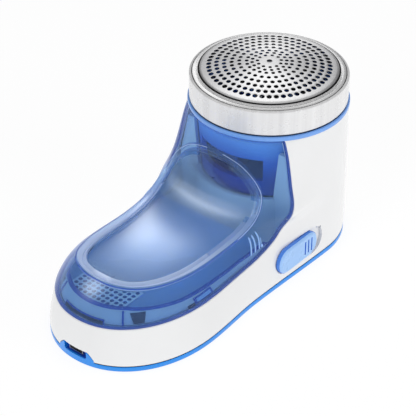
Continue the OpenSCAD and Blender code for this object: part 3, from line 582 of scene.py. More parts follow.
def metal(name, colour, rough=0.25, streak=(1, 1, 1), vary=0.06, bumps=0.03, scale=900):
    """Metal; streak scales the texture axes, colour is an RGB tuple or a painter."""
    material = bpy.data.materials.new(name)
    shader = Shader(material)
    grain = shader.noise(shader.scaled(streak), scale=scale, detail=4, rough=0.6)
    shader.output(shader.add("BsdfPrincipled", {
        "Base Color": shader.colour(colour, lambda: grain, vary),
        "Roughness": shader.remap(grain, (0.25, 0.75), (max(0.03, rough - 0.05), rough + 0.06)),
        "Normal": shader.bump(grain, strength=bumps, distance=0.00003),
        "Metallic": 1.0}))
    return material


# Painters: each returns a function that paints the base colour of a shader.
def painted_sheen(stops):
    """Painted reflection: the sheen of spun metal, light along one diameter, dark across it."""
    def paint(shader):
        point = shader.coords()
        axes = shader.split(point)
        angle = shader.math("ARCTAN2", axes["Y"], axes["X"])
        doubled = shader.math("MULTIPLY_ADD", angle, 2.0, 2 * math.radians(54))
        wave = shader.math("COSINE", doubled)
        wobble = shader.remap(shader.noise(point, scale=60), (0.3, 0.7), (-0.12, 0.12))
        flat = shader.add("CombineXYZ", {"X": axes["X"], "Y": axes["Y"]})
        length = shader.node("VectorMath", {0: flat}, operation="LENGTH").outputs["Value"]
        # the painted sheen fades out towards the axis
        away = shader.multiply(wave, shader.remap(length, (0.002, 0.013), (0, 1)))
        total = shader.math("ADD", away, wobble)
        return shader.ramp(shader.remap(total, (-1, 1), (0, 1)), stops)
    return paint


def painted_height_shade(low, high, stops):
    """Painted shade and light: colour that changes between two heights."""
    def paint(shader):
        point = shader.coords()
        wobble = shader.remap(shader.noise(point, scale=50), (0.3, 0.7), (-0.001, 0.001))
        height = shader.math("ADD", shader.split(point)["Z"], wobble)
        return shader.ramp(shader.remap(height, (low, high), (0, 1)), stops)
    return paint


def upright_streaks(stops):
    """Faint streaks parallel to the axis."""
    def paint(shader):
        axes = shader.split(shader.coords())
        angle = shader.math("ARCTAN2", axes["Y"], axes["X"])
        around = shader.add("CombineXYZ", {"X": angle})
        return shader.ramp(shader.noise(around, scale=7, detail=5, rough=0.7), stops)
    return paint


DRUM_FRONT = (0.036, 0.044)  # heights over which the wall turns clear before the drum


def tinted(name, tint, deep, frost=0.15, frost_colour=(0.55, 0.7, 0.95),
           edge_colour=(0.03, 0.12, 0.62), dish_frost=0.4, dish_colour=(0.5, 0.68, 0.95),
           rough=0.08, dish_rough=0.3, spec=1.0, dish_spec=1.0, blur=0.0):
    """Thin tinted wall, deeper at grazing angles and along moulded edges.

    The mesh attributes edge, dish and ledge say where each treatment applies.
    """
    material = bpy.data.materials.new(name)
    shader = Shader(material)
    multiply, remap = shader.multiply, shader.remap
    point = shader.scaled()
    edge, dish, ledge = (shader.node("Attribute", attribute_name=key).outputs["Fac"]
                         for key in ("edge", "dish", "ledge"))
    height = shader.split(shader.coords())["Z"]
    # the ledge round the dish clears up towards the head
    ledge = multiply(ledge, remap(height, (0.029, 0.041), (1.0, 0.35)))
    facing = shader.node("LayerWeight", {"Blend": 0.5}).outputs["Facing"]
    graze = shader.math("POWER", remap(facing, (0.45, 1.0), (0.0, 1.0)), 2.0)
    dark = shader.math("MAXIMUM", multiply(graze, 1.0), edge, clamped=True)

    # see-through part, nearly colourless for rays that are not seen
    colour = shader.mix(dark, tint, deep)
    clouds = shader.ramp(shader.noise(point, scale=45),
                         [(0.3, (0.93, 0.95, 0.98)), (0.7, (1, 1, 1))])
    colour = shader.mix(0.5, colour, clouds, "MULTIPLY")
    ray = shader.node("LightPath").outputs
    passing = multiply(ray["Is Transmission Ray"], shader.without(ray["Is Shadow Ray"]))
    seen = shader.math("MAXIMUM", ray["Is Camera Ray"], passing, clamped=True)
    colour = shader.mix(multiply(shader.without(seen), 0.8), colour, (1.0, 1.0, 1.0))
    clear = shader.add("BsdfTransparent", {"Color": colour})
    if blur:
        soft = shader.add("BsdfRefraction", {"Color": colour, "IOR": 1.22, "Roughness": 0.26})
        near = remap(height, DRUM_FRONT, (1.0, 0.3))
        amount = multiply(multiply(multiply(dish, blur), near), seen)
        clear = shader.mix_shader(amount, clear, soft)

    # frosted part
    colour = shader.mix(dish, frost_colour, dish_colour)
    # the ledge turns near white: partly its frost, partly a painted highlight
    colour = shader.mix(multiply(ledge, 0.85), colour, (0.88, 0.93, 1.0))
    colour = shader.mix(dark, colour, edge_colour)
    frosted = shader.mix_shader(0.4, shader.add("BsdfDiffuse", {"Color": colour}),
                                shader.add("BsdfTranslucent", {"Color": colour}))
    amount = remap(dish, (0, 1), (frost, dish_frost))
    amount = shader.math("ADD", amount, multiply(ledge, 0.42))
    amount = shader.math("ADD", amount, multiply(dark, 0.55), clamped=True)
    thinned = multiply(dish, remap(height, DRUM_FRONT, (0.0, 0.7)))
    body = shader.mix_shader(multiply(amount, shader.without(thinned)), clear, frosted)

    # reflection, the same from both sides of the wall but weaker in front of the drum
    ripples = shader.noise(point, scale=700)
    gloss = shader.add("BsdfGlossy", {
        "Color": (0.95, 0.97, 1, 1),
        "Roughness": remap(dish, (0, 1), (rough, dish_rough)),
        "Normal": shader.bump(ripples, strength=0.05, distance=0.0001)})
    fresnel = shader.math("ADD", multiply(shader.math("POWER", facing, 5.0), 0.96), 0.04)
    backfacing = shader.node("NewGeometry").outputs["Backfacing"]
    weaker = shader.math("ADD", multiply(backfacing, 0.45), 0.3)
    weaker = multiply(weaker, remap(height, DRUM_FRONT, (0.0, 1.0)))
    fresnel = multiply(fresnel, shader.without(weaker))
    amount = shader.math("MULTIPLY", fresnel, remap(dish, (0, 1), (spec, dish_spec)),
                         clamped=True)
    shader.output(shader.mix_shader(amount, body, gloss))
    return material


DEEP_BLUE = (0.012, 0.075, 0.46)
WHITE = plastic("casing_white_gloss", (0.85, 0.855, 0.86), rough=0.16, vary=0.008, coat=0.3)
# painted shade: the white inner frame turns dark blue-grey low down, inside the bin
FRAME_WHITE = plastic("frame_white_satin", painted_height_shade(0.018, 0.034, [
    (0.0, (0.50, 0.58, 0.70)), (0.4, (0.58, 0.66, 0.76)), (1.0, (0.93, 0.94, 0.95))]),
    rough=0.35, grain=0.05)
PLATE_BLUE = plastic("plate_bright_blue", (0.008, 0.27, 0.86), vary=0.04, grain=0.03, coat=0.2)
TRIM_BLUE = plastic("trim_blue", (0.17, 0.38, 0.86), vary=0.04, grain=0.03, coat=0.2)
# painted shade and light: the drum is dark low down and light blue towards its top
DRUM_BLUE = plastic("drum_deep_blue", painted_height_shade(0.031, 0.061, [
    (0.0, (0.008, 0.05, 0.36)), (0.30, DEEP_BLUE), (0.55, (0.04, 0.18, 0.70)),
    (0.8, (0.26, 0.52, 1.0)), (1.0, (0.48, 0.74, 1.0))]), rough=0.55, grain=0.03, spec=0.3)
FILTER = plastic("filter_mesh_blue", (0.68, 0.82, 1.0), rough=0.4, vary=0.05, grain=0.1)
# painted shade: dark blue for the filter's hole walls and for the sheet under the filter
FILTER_SHADE = plastic("filter_hole_shade_blue", (0.07, 0.20, 0.58), rough=0.5, vary=0.1, grain=0.1,
                      spec=0.2)
PEARL = plastic("guard_pearl", upright_streaks([
    (0.30, (0.66, 0.66, 0.67)), (0.48, (0.79, 0.79, 0.795)), (0.7, (0.87, 0.87, 0.87))]),
    rough=0.28, grain=0.0, coat=0.3, metallic=0.2)
RIM_STEEL = metal("rim_polished_steel", (0.95, 0.95, 0.95), rough=0.27, streak=(1, 1, 6),
                  vary=0.02, bumps=0.0, scale=60)
# the foil's base colour carries a painted sheen that stands in for its reflection
FOIL_STEEL = metal("foil_satin_steel", painted_sheen([
    (0.0, (0.50, 0.50, 0.505)), (0.35, (0.64, 0.64, 0.645)),
    (0.7, (0.84, 0.84, 0.845)), (1.0, (0.96, 0.96, 0.96))]), rough=0.36, bumps=0.0, scale=1500)
KNOB_BLUE = plastic("knob_light_blue", (0.34, 0.57, 0.95), rough=0.28, grain=0.05)
KNOB_EDGE_AND_GROOVE_SHADE = plastic("knob_edge_and_groove_shade_blue", (0.05, 0.22, 0.78), rough=0.2, grain=0.03, coat=0.4)
BIN = tinted("bin_frosted_blue", tint=(0.60, 0.775, 0.925), deep=(0.07, 0.22, 0.66),
             frost=0.07, frost_colour=(0.26, 0.48, 0.86), edge_colour=DEEP_BLUE,
             dish_frost=0.05, dish_colour=(0.40, 0.62, 0.90), rough=0.28, dish_rough=0.34,
             spec=0.8, dish_spec=1.3, blur=0.8)
LINER = tinted("liner_frosted_blue", tint=(0.86, 0.92, 0.98), deep=(0.35, 0.5, 0.85),
               frost=0.8, frost_colour=(0.86, 0.92, 1.0), edge_colour=(0.6, 0.75, 0.95),
               spec=0.3)
# deep blue for the edge lines, also used as painted shade in the port
EDGE_LINE_AND_SHADE_BLUE = plastic("edge_line_and_shade_blue", DEEP_BLUE, rough=0.3, vary=0.06, grain=0.05)
# navy of the catches, also used for the painted shadow below the clip
CATCH_AND_SHADOW_NAVY = plastic("catch_and_shadow_navy", (0.015, 0.028, 0.085), rough=0.35, vary=0.08, grain=0.05)
CLIP_LIGHT = plastic("clip_light_blue", (0.35, 0.55, 0.90), rough=0.3, vary=0.04, grain=0.05)
SEAM_SHADOW = plastic("seam_shadow_navy", (0.006, 0.014, 0.05), rough=0.5, vary=0.1, grain=0.05,
               spec=0.2)
PALE_LINE = plastic("crest_pale_blue", (0.55, 0.70, 0.93), rough=0.2, vary=0.04, grain=0.03,
                    coat=0.3)
RIB_BLUE = plastic("rib_clear_blue", (0.30, 0.52, 0.92), rough=0.15, vary=0.04, grain=0.03,
                   coat=0.5)
BIN_FLOOR = tinted("bin_floor_blue", tint=(0.62, 0.74, 0.93), deep=(0.06, 0.16, 0.6),
                   frost=0.75, frost_colour=(0.50, 0.74, 1.0), spec=0.4)
SHADOW_BLACK = plastic("hole_shadow_black", (0.012, 0.012, 0.013), rough=0.5, vary=0.1, grain=0.1,
                spec=0.2)

# CAD piece: material, colour, roughness, colour variation, grain strength, coat
STOCK_PLASTICS = {
    "lint_filter": ("filter_mesh_blue", (0.30, 0.47, 0.78), 0.4, 0.05, 0.1, 0),
    "bin_catches": ("catch_dark_blue", (0.02, 0.035, 0.10), 0.35, 0.05, 0.05, 0),
    # the carrier's near black is partly its dark plastic, partly painted shade seen through the
    # foil holes
    "blade_carrier": ("carrier_grey", (0.03, 0.032, 0.036), 0.45, 0.05, 0.1, 0),
    "drive_coupling": ("coupling_ivory", (0.68, 0.64, 0.52), 0.45, 0.04, 0.1, 0),
    "impeller": ("fan_deep_blue", (0.012, 0.05, 0.24), 0.35, 0.06, 0.08, 0),
    "motor_brushes": ("brush_carbon", (0.03, 0.028, 0.027), 0.6, 0.15, 0.2, 0),
    "motor_end_cap": ("cap_black", (0.02, 0.02, 0.022), 0.4, 0.08, 0.1, 0),
    "battery_cell": ("cell_sleeve_green", (0.03, 0.25, 0.14), 0.25, 0.05, 0.05, 0.4),
    "control_board": ("board_solder_mask", (0.012, 0.12, 0.045), 0.3, 0.25, 0.1, 0.3),
    "board_chips": ("chip_epoxy", (0.018, 0.018, 0.02), 0.55, 0.1, 0.2, 0),
    "usb_tongue": ("port_black", (0.012, 0.012, 0.014), 0.35, 0.1, 0.1, 0),
    "switch_board": ("switch_board_mask", (0.014, 0.13, 0.05), 0.3, 0.25, 0.1, 0.3),
    "slide_switch_tab": ("switch_black", (0.015, 0.015, 0.017), 0.4, 0.1, 0.1, 0),
    "indicator_lens": ("lens_clear_white", (0.72, 0.76, 0.80), 0.08, 0.02, 0.01, 0.8),
    "indicator_led": ("led_red", (0.45, 0.03, 0.03), 0.15, 0.05, 0.02, 0.6),
    "motor_leads": ("lead_red", (0.40, 0.02, 0.015), 0.4, 0.08, 0.1, 0),
    "battery_leads": ("lead_black", (0.015, 0.015, 0.017), 0.4, 0.08, 0.1, 0),
}
# CAD piece: material, colour, roughness, texture axis scales, variation, bump strength
STOCK_METALS = {
    "cutter_blades": ("blade_ground_steel", (0.30, 0.31, 0.33), 0.28, (1, 8, 1), 0.08, 0.03),
    "blade_spring": ("spring_steel", (0.6, 0.6, 0.62), 0.25, (1, 1, 4), 0.08, 0.03),
    "motor_shaft": ("shaft_steel", (0.6, 0.6, 0.62), 0.18, (1, 1, 0.2), 0.05, 0.03),
    "motor_can": ("can_zinc", (0.55, 0.56, 0.58), 0.3, (1, 1, 0.3), 0.08, 0.03),
    "motor_magnets": ("magnet_ferrite", (0.10, 0.10, 0.105), 0.6, (1, 1, 1), 0.2, 0.03),
    "motor_armature": ("armature_copper", (0.50, 0.24, 0.11), 0.35, (1, 1, 14), 0.25, 0.3),
    "motor_commutator": ("commutator_copper", (0.62, 0.33, 0.18), 0.25, (1, 1, 10), 0.1, 0.03),
    "motor_terminals": ("terminal_brass", (0.72, 0.52, 0.22), 0.28, (1, 1, 5), 0.06, 0.03),
    "motor_bushes": ("bush_bronze", (0.5, 0.33, 0.16), 0.4, (1, 1, 1), 0.15, 0.2),
    "motor_screws": ("screw_steel", (0.5, 0.5, 0.52), 0.28, (1, 1, 8), 0.08, 0.03),
    "base_screws": ("screw_zinc", (0.56, 0.57, 0.6), 0.25, (1, 1, 8), 0.08, 0.03),
    "battery_tabs": ("tab_nickel", (0.66, 0.65, 0.62), 0.25, (1, 6, 1), 0.06, 0.03),
    "board_screws": ("screw_small", (0.5, 0.5, 0.52), 0.28, (1, 1, 8), 0.08, 0.03),
    "usb_shell": ("port_steel", (0.30, 0.30, 0.32), 0.22, (1, 5, 1), 0.05, 0.03),
    "slide_switch_body": ("switch_can", (0.56, 0.57, 0.59), 0.3, (1, 1, 3), 0.06, 0.03),
}
UNBEVELLED = ("blade_spring", "motor_leads", "battery_leads", "lint_filter")

stock = {"inner_frame": FRAME_WHITE}
for part, (name, colour, rough, vary, grain, coat) in STOCK_PLASTICS.items():
    stock[part] = plastic(name, colour, rough=rough, vary=vary, grain=grain, coat=coat)
for part, (name, colour, rough, streak, vary, bumps) in STOCK_METALS.items():
    stock[part] = metal(name, colour, rough=rough, streak=streak, vary=vary, bumps=bumps)
stock["shaft_seal"] = plastic("felt_seal_grey", (0.12, 0.12, 0.125), rough=0.95, vary=0.25,
                              grain=0.6, spec=0.1, grain_scale=1800)

for part, material in stock.items():
    piece = PIECES[part]
    if len(piece.material_slots) == 0:
        piece.data.materials.append(material)
    for slot in piece.material_slots:
        slot.material = material
    if part not in UNBEVELLED:
        bevel = piece.modifiers.new("edge", "BEVEL")
        bevel.width = 0.00012
        bevel.segments = 2
        bevel.limit_method = "ANGLE"
        bevel.angle_limit = math.radians(50)


# ---------------------------------------------------------------- casing
def casing():
    """Shell from the base to the sole line, carried up to the head round the heel.

    Rows run along the right half from the heel middle to the toe middle. The upper rows
    stop at the corner, the column that meets the ankle of the parting line.
    """
    heel_steps, flank_steps, per_station = 30, 12, 5
    corner = heel_steps + flank_steps
    last = corner + (LAST - ANKLE_END) * per_station
    sole_stations = ANKLE_END + np.arange(last - corner + 1) / per_station
    top = np.concatenate([np.full(corner, ANKLE_Z), sole_height(sole_stations)])
    bottom = 2.55
    # row levels from 0 at the bottom to 1 at the top, and how far each is drawn in
    edge = 0.35
    edge_share = edge / 16.0
    levels = np.concatenate([[0.0, 0.004, 0.012], np.linspace(0, 1 - edge_share, 18)[1:],
                             1 - np.array([0.62, 0.3, 0.08]) * edge_share, [1]])
    insets = np.concatenate([[0.22, 0.06, 0.0], np.zeros(17),
                             edge * np.array([0.08, 0.27, 0.62, 1.0]) * 0.9])

    def skin_point(column, z, corner_y=ANKLE_Y):
        if column <= heel_steps:
            angle = column / heel_steps * np.pi / 2
            radius = column_radius(z)
            return radius * math.sin(angle), radius * math.cos(angle), z
        if column <= corner:
            y = corner_y * (column - heel_steps) / flank_steps
            return float(flank(z, y)), y, z
        share = sole_share([ANKLE_END + (column - corner) / per_station])[0]
        x, y = side(z, share)
        return float(x), float(y), z

    def outward(row, full):
        ahead = row[-2] * MIRROR if full else row[-1]
        run = np.vstack([row[1:], ahead]) - np.vstack([row[1] * MIRROR, row[:-1]])
        normal = unit(np.stack([-run[:, 1], run[:, 0], 0 * run[:, 0]], 1))
        normal[0] = (0, 1, 0)
        normal[-1] = (0, -1, 0) if full else (1, 0, 0)
        return normal

    outer, inner = [], []
    for level, inset in zip(levels, insets):
        heights = bottom + (top - bottom) * level
        row = np.array([skin_point(i, heights[i]) for i in range(last + 1)])
        drawn = np.full(last + 1, inset)
        if level > 0.5:
            # the rounded edge fades in along the sole and is absent on the heel columns
            drawn[:corner + 1] = 0
            drawn[corner + 1:corner + 4] *= np.array([0.3, 0.6, 0.9])
        normal = outward(row, True)
        outer.append(row - drawn[:, None] * normal)
        inner.append(row - WALL * normal)
        # the corner column keeps its mating face square to the pull direction
        inner[-1][corner] = row[corner] - np.array([WALL, 0, 0])
    low_rows = len(levels)
    for _, y, z in parting(np.linspace(ANKLE_END, TOP_END, 45)[1:]):
        row = np.array([skin_point(i, z, y) for i in range(corner + 1)])
        outer.append(row)
        inner.append(row - WALL * outward(row, False))

    verts = []

    def add_rows(rows):
        """Store rows and their mirrored halves; gives (right, left) indices per row."""
        indices = []
        for row in rows:
            full = len(row) == last + 1
            right = list(range(len(verts), len(verts) + len(row)))
            verts.extend(row)
            mirrored = (row[1:-1] if full else row[1:]) * MIRROR
            left = [right[0]] + list(range(len(verts), len(verts) + len(mirrored)))
            verts.extend(mirrored)
            if full:
                left.append(right[-1])
            indices.append((right, left))
        return indices

    outer_rows, inner_rows = add_rows(outer), add_rows(inner)
    faces = []
    for rows, flip in ((outer_rows, 1), (inner_rows, -1)):
        for low, high in zip(rows, rows[1:]):
            for half, step in ((0, flip), (1, -flip)):
                stop = min(len(low[half]), len(high[half])) - 1
                faces += strip(low[half], high[half], stop, step=step)
    edge_row = low_rows - 1
    for half in (0, 1):
        outs = [row[half] for row in outer_rows]
        ins = [row[half] for row in inner_rows]
        faces += strip(outs[0], ins[0], last)
        faces += strip(outs[edge_row], ins[edge_row], last, start=corner)
        faces += strip(outs[-1], ins[-1], corner)
        out_corner = [row[corner] for row in outs[edge_row:]]
        in_corner = [row[corner] for row in ins[edge_row:]]
        faces += strip(out_corner, in_corner, len(out_corner) - 1)
    return make("casing", verts, faces, [WHITE], 40)


body_shell = casing()
KNOB_CLEARANCE = 0.7
toe_notch = rounded([(-8.8, -1), (8.8, -1), (8.7, 3.3), (7.5, 4.9), (6.0, 6.2),
                     (-6.0, 6.2), (-7.5, 4.9), (-8.7, 3.3)], [0, 0, 1, 1, 0.8, 0.8, 1, 1], 4)
cut(body_shell, [
    prism("knob_recess", stadium(KNOB_LENGTH + KNOB_TRAVEL + KNOB_CLEARANCE,
                                 KNOB_HEIGHT + KNOB_CLEARANCE),
          (31.0, KNOB_Y + KNOB_TRAVEL / 2, KNOB_Z), ALONG_X, 5),
    prism("stem_slot", rect(-4, -2.2, 4 + KNOB_TRAVEL, 2.2), (28, KNOB_Y, KNOB_Z), ALONG_X, 4),
    prism("toe_notch", toe_notch, (0, -120, 0), ALONG_Y, 8),
    prism("round_hole", stadium(1.5, 1.5 - 1e-3),
          (28, KNOB_Y + KNOB_LENGTH / 2 + KNOB_TRAVEL - 1.1, KNOB_Z + 4), ALONG_X, 6),
])
shade(body_shell, 38)
place([body_shell], "housing", "casing_white", replaces="main_housing")


# ---------------------------------------------------------------- bottom plate and port
def base_outline(z, heel_count, side_count):
    heel = [(BASE_RADIUS * math.sin(angle), BASE_RADIUS * math.cos(angle))
            for angle in np.linspace(0, np.pi / 2, heel_count)]
    share = np.linspace(0, 1, side_count)[1:]
    half = heel + list(zip(*band(np.full_like(share, z), share)))
    half[-1] = (0.0, half[-1][1])
    return np.array(half + [(-x, y) for x, y in half[-2:0:-1]])


def band_points(outline, insets, heights):
    """Corner loops of a band that follows an outline between two insets and heights."""
    inward = inward_normals(outline)
    (outer, inner), (low, high) = insets, heights
    return np.vstack([np.c_[outline + inward * inset, np.full(len(outline), z)]
                      for inset, z in ((outer, low), (outer, high), (inner, high), (inner, low))])


def bottom_plate():
    outline = base_outline(1.0, 50, 120)
    plate = prism("bottom_plate", outline, (0, 0, 0), ALONG_Z, 2.2, [PLATE_BLUE], 40,
                  bevel=0.35)
    faces = loop_faces(4, len(outline), wrap=True)
    rib = make("rib", band_points(outline, (2.35, 3.55), (2.1, 4.2)), faces)
    lip = make("lip", band_points(outline, (0, 2.2), (0.6, 7.0)), faces)
    # the lip stays only as a tongue at the toe
    tongue = [(-9.6, -1), (9.6, -1), (8.9, 1.9), (8.55, 3.2), (7.35, 4.75), (5.9, 6.0),
              (-5.9, 6.0), (-7.35, 4.75), (-8.55, 3.2), (-8.9, 1.9)]
    radii = [0, 0, 0.5, 1, 1, 0.8, 0.8, 1, 1, 0.5]
    cut(lip, [prism("tongue", rounded(tongue, radii, 5), (0, -119, 0), ALONG_Y, 9)],
        "INTERSECT")
    cut(plate, [rib, lip], "UNION")
    port = rounded(rect(-5.5, 2.9, 5.5, 7.4), [0.9, 0.9, 0.05, 0.05], 4)
    cutters = [prism("port", port, (0, -121, 0), ALONG_Y, 12),
               prism("port_back", rect(-8.7, 2.25, 8.7, 6.9), (0, -114.15, 0), ALONG_Y, 4)]
    for x, y in ((19.4, 19.4), (-19.4, 19.4), (27, -80), (-27, -80)):
        # screw hole, wider hole from below, clearance above the plate
        for radius, z, height in ((1.6, -1, 6), (3.0, -1, 2.3), (3.9, 2.22, 4)):
            cutters.append(prism("screw_hole", circle(0, 0, radius, 40), (x, y, z), ALONG_Z,
                                 height))
    cut(plate, cutters)
    shade(plate, 38)
    return plate


def seam_shadow_band():
    """Painted shadow: dark band in the gap between plate and casing, open at the toe."""
    outline = base_outline(2.4, 40, 100)
    count = len(outline)
    kept = (abs(outline[:, 0]) > 8.9) | (outline[:, 1] > -100)
    first = int(np.flatnonzero(kept & ~np.roll(kept, 1))[0])
    last = int(np.flatnonzero(~kept & np.roll(kept, 1))[0])
    faces = [face for face in loop_faces(4, count, wrap=True) if kept[face[0] % count]]
    faces.append(tuple(row * count + first for row in range(4)))
    faces.append(tuple(row * count + last for row in (3, 2, 1, 0)))
    verts = band_points(outline, (0.12, 1.6), (2.22, 2.52))
    return make("seam_shadow_band", *drop_unused(verts, faces), [SEAM_SHADOW], 40)


place([bottom_plate()], "housing", "plate_blue", replaces="base_plate")
# Painted shade in the port: a deep blue well, a black sheet in its mouth and a deep blue sill
# stand for the shade inside the opening.
place([
    prism("port_well_shade", rect(-5.45, 2.6, 5.45, 6.15), (0, -114.5, 0), ALONG_Y, 0.35,
          [EDGE_LINE_AND_SHADE_BLUE]),
    prism("port_mouth_shadow", rect(-3.25, 3.85, 3.25, 6.15), (0, -115.15, 0), ALONG_Y, 0.3, [SHADOW_BLACK]),
    prism("port_sill_shade", rect(-5.2, -115.75, 5.2, -114.55), (0, 0, 2.93), ALONG_Z, 0.12,
          [EDGE_LINE_AND_SHADE_BLUE]),
], "housing", "port_black")
place([seam_shadow_band()], "housing", "plate_blue")

# ---------------------------------------------------------------- lint bin
LEDGE_WIDTH, FALL_DEPTH, FALL_WIDTH = 2.1, 1.1, 1.0  # ledge inside the crest, step below it


def spine(station):
    """Middle line of the dish and its normals, with the stations bunched at both ends."""
    station = np.asarray(station, float)
    first, last = 4.6, 15.2
    spread = first + (last - first) * clamp((station - 3.2) / (16.2 - 3.2))
    where = np.clip(station, first, last) * 0.8 + spread * 0.2
    zeros = np.zeros(len(where))
    run = unit(np.c_[zeros, through(DISH_MIDDLE, where + 0.2)
                     - through(DISH_MIDDLE, where - 0.2)])
    normal = facing_out(np.stack([zeros, run[:, 2], -run[:, 1]], 1))
    return np.c_[zeros, through(DISH_MIDDLE, where)], normal


def dish_point(station, outward):
    """Dish surface from the spine (outward 0) to the crest (outward 1)."""
    outward = np.asarray(outward, float)[:, None]
    middle, normal = spine(station)
    reach = through(RIM, station, True) - middle
    rise = (reach * normal).sum(1)[:, None]
    points = middle + reach * outward - normal * rise * (outward - outward ** 2.3)
    distance = (1 - outward) * np.linalg.norm(reach, axis=1)[:, None]
    return points - normal * FALL_DEPTH * smooth((distance - LEDGE_WIDTH) / FALL_WIDTH)


def bin_shell():
    stations = np.arange(LAST * 9 + 1) / 9
    across = np.concatenate([[0, 0.006, 0.018, 0.035], np.linspace(0.06, 0.93, 22),
                             [0.955, 0.975, 0.99, 1.0]])
    edge_round = (0.30, 0.13, 0.03)
    rows, crest_column = len(stations), len(across) - 1
    grid = np.meshgrid(stations, across, indexing="ij")
    skirt = shoulder(grid[0].ravel(), grid[1].ravel()).reshape(rows, -1, 3)
    # distances from the crest of the first dish columns; the rest share out the remainder
    near = np.array([0.2, 0.45, 0.9, 1.4, 1.8, 2.05, 2.25, 2.45, 2.65, 2.85, 3.05, 3.3, 3.7])
    far = np.linspace(0, 1, 16)[1:]
    reach = np.linalg.norm(through(RIM, stations, True) - spine(stations)[0], axis=1)
    outward = 1 - near / reach[:, None]
    outward = np.hstack([outward, outward[:, -1:] * (1 - far)])
    dish = dish_point(np.repeat(stations, outward.shape[1]), outward.ravel())
    outer = np.concatenate([skirt, dish.reshape(rows, -1, 3)], 1)
    columns = outer.shape[1]

    # normals by differences, kept in the middle plane where x is 0
    down = np.gradient(outer, axis=0)
    down[0] = outer[1] - outer[1] * MIRROR
    down[-1] = outer[-2] * MIRROR - outer[-2]
    normal = facing_out(np.cross(down, np.gradient(outer, axis=1)), np.sign(outer[..., 0:1]))
    normal[[0, -1], :, 0] = 0
    normal[:, -1, 0] = 0
    normal = unit(normal)

    steps = np.linalg.norm(np.diff(outer, axis=1), axis=2)
    distance = np.concatenate([np.zeros((rows, 1)), np.cumsum(steps, 1)], 1)
    crest = distance - distance[:, crest_column:crest_column + 1]
    bead = 0.16 * np.exp(-((crest + 0.1) / 0.42) ** 2)
    outer = outer + normal * bead[..., None]
    inner = outer - normal * BIN_WALL

    # mating edge: round the outside, keep the inner edge in the plane of the parting face
    level = normal.copy()
    level[..., 2] = 0
    level = unit(level)
    rim_outer = outer[:, 0].copy()
    for j, radius in enumerate(edge_round):
        outer[:, j] -= level[:, j] * radius
    rim_inner = rim_outer - level[:, 0] * BIN_WALL
    ankle = (stations > TOP_END) & (stations <= ANKLE_END)
    rim_inner[ankle] = rim_outer[ankle] - np.array([BIN_WALL, 0, 0])
    for end in (0, -1):
        rim_inner[end] = rim_outer[end] + [0, BIN_WALL, 0]
    inner[:, 0] = rim_inner
    for j in range(1, 4):
        inner[:, j] = lerp(outer[:, j] + (rim_inner - rim_outer), inner[:, j],
                           across[j] / 0.06)

    on_top = (stations < TOP_END)[:, None] * 1.0
    edge = np.exp(-(distance / 0.8) ** 2) * (1 - 0.5 * on_top)
    edge = np.maximum(edge, 0.6 * np.exp(-((crest + 0.75) / 0.28) ** 2))
    # ledge: frosted band inside the crest, painted lighter, partly as a painted highlight, more
    # so towards the toe
    ledge = smooth((crest + 0.25) / 0.4) * (1 - smooth((crest - LEDGE_WIDTH - 0.3) / 0.7))
    ledge = ledge * (0.55 + 0.45 * smooth((stations - 6) / 8))[:, None]
    in_dish = smooth((crest - LEDGE_WIDTH) / 1.5)

    def both_halves(values, flip=1):
        """Right half, then the left half without the shared middle rows and column."""
        tail = values.shape[2:]
        left = values[1:-1, :-1].reshape(-1, *tail) * flip
        return np.concatenate([values.reshape(-1, *tail), left])

    verts = []
    for skin_grid in (outer, inner):
        skin_grid[[0, -1], :, 0] = 0
        skin_grid[:, -1, 0] = 0
        verts.append(both_halves(skin_grid, MIRROR))
    right = np.arange(rows * columns).reshape(rows, columns)
    left = right.copy()
    left_count = (rows - 2) * (columns - 1)
    left[1:-1, :-1] = right.size + np.arange(left_count).reshape(rows - 2, -1)
    shell = right.size + left_count
    faces = []
    for start, flip in ((0, 1), (shell, -1)):
        for half, step in ((right + start, flip), (left + start, -flip)):
            faces += [(half[i, j], half[i + 1, j], half[i + 1, j + 1], half[i, j + 1])[::step]
                      for i in range(rows - 1) for j in range(columns - 1)]
    for half in (right, left):
        faces += strip(half[:, 0], half[:, 0] + shell, rows - 1)
    attributes = {key: np.tile(both_halves(values), 2)
                  for key, values in (("edge", edge), ("dish", in_dish), ("ledge", ledge))}
    body = make("bin_shell", np.vstack(verts), faces, [BIN], 50, attributes)

    # stations that fall on the same spine point collapse; weld them
    work = bmesh.new()
    work.from_mesh(body.data)
    bmesh.ops.remove_doubles(work, verts=work.verts, dist=1e-6)
    bmesh.ops.dissolve_degenerate(work, dist=1e-7, edges=work.edges)
    bmesh.ops.recalc_face_normals(work, faces=work.faces)
    work.to_mesh(body.data)
    work.free()
    shade(body, 50)
    return body


clear_bin = bin_shell()
place([clear_bin], "bin", "bin_clear_blue", replaces="lint_bin")


# ---------------------------------------------------------------- inside of the bin
def skin(station, across, offset):
    """Points of the bin shoulder moved out along its normal."""
    run = (shoulder(np.minimum(station + SLOPE_STEP, LAST), across)
           - shoulder(station - SLOPE_STEP, across))
    rise = shoulder(station, across + SLOPE_STEP) - shoulder(station, across - SLOPE_STEP)
    normal = facing_out(np.cross(run, rise))
    normal[station > LAST - 1e-6, 0] = 0
    return shoulder(station, across) + offset * unit(normal)


@lru_cache(maxsize=None)
def inner_section(station, offset):
    """Heights, x and y up the inside of the skin at one station."""
    points = skin(np.full(22, station), np.linspace(0, 0.62, 22), -offset)
    rising = np.maximum.accumulate(points[:, 2] + np.arange(22) * 1e-6)
    return rising, points[:, 0], points[:, 1]


def lining_point(reach, z, offset):
    """Point inside the skin; reach counts stations from the toe middle, right positive."""
    heights, xs, ys = inner_section(round(float(LAST - abs(reach)), 2), round(offset, 3))
    x = np.interp(z, heights, xs) * np.sign(reach) if abs(reach) >= 1e-9 else 0.0
    return np.array([x, np.interp(z, heights, ys), z])


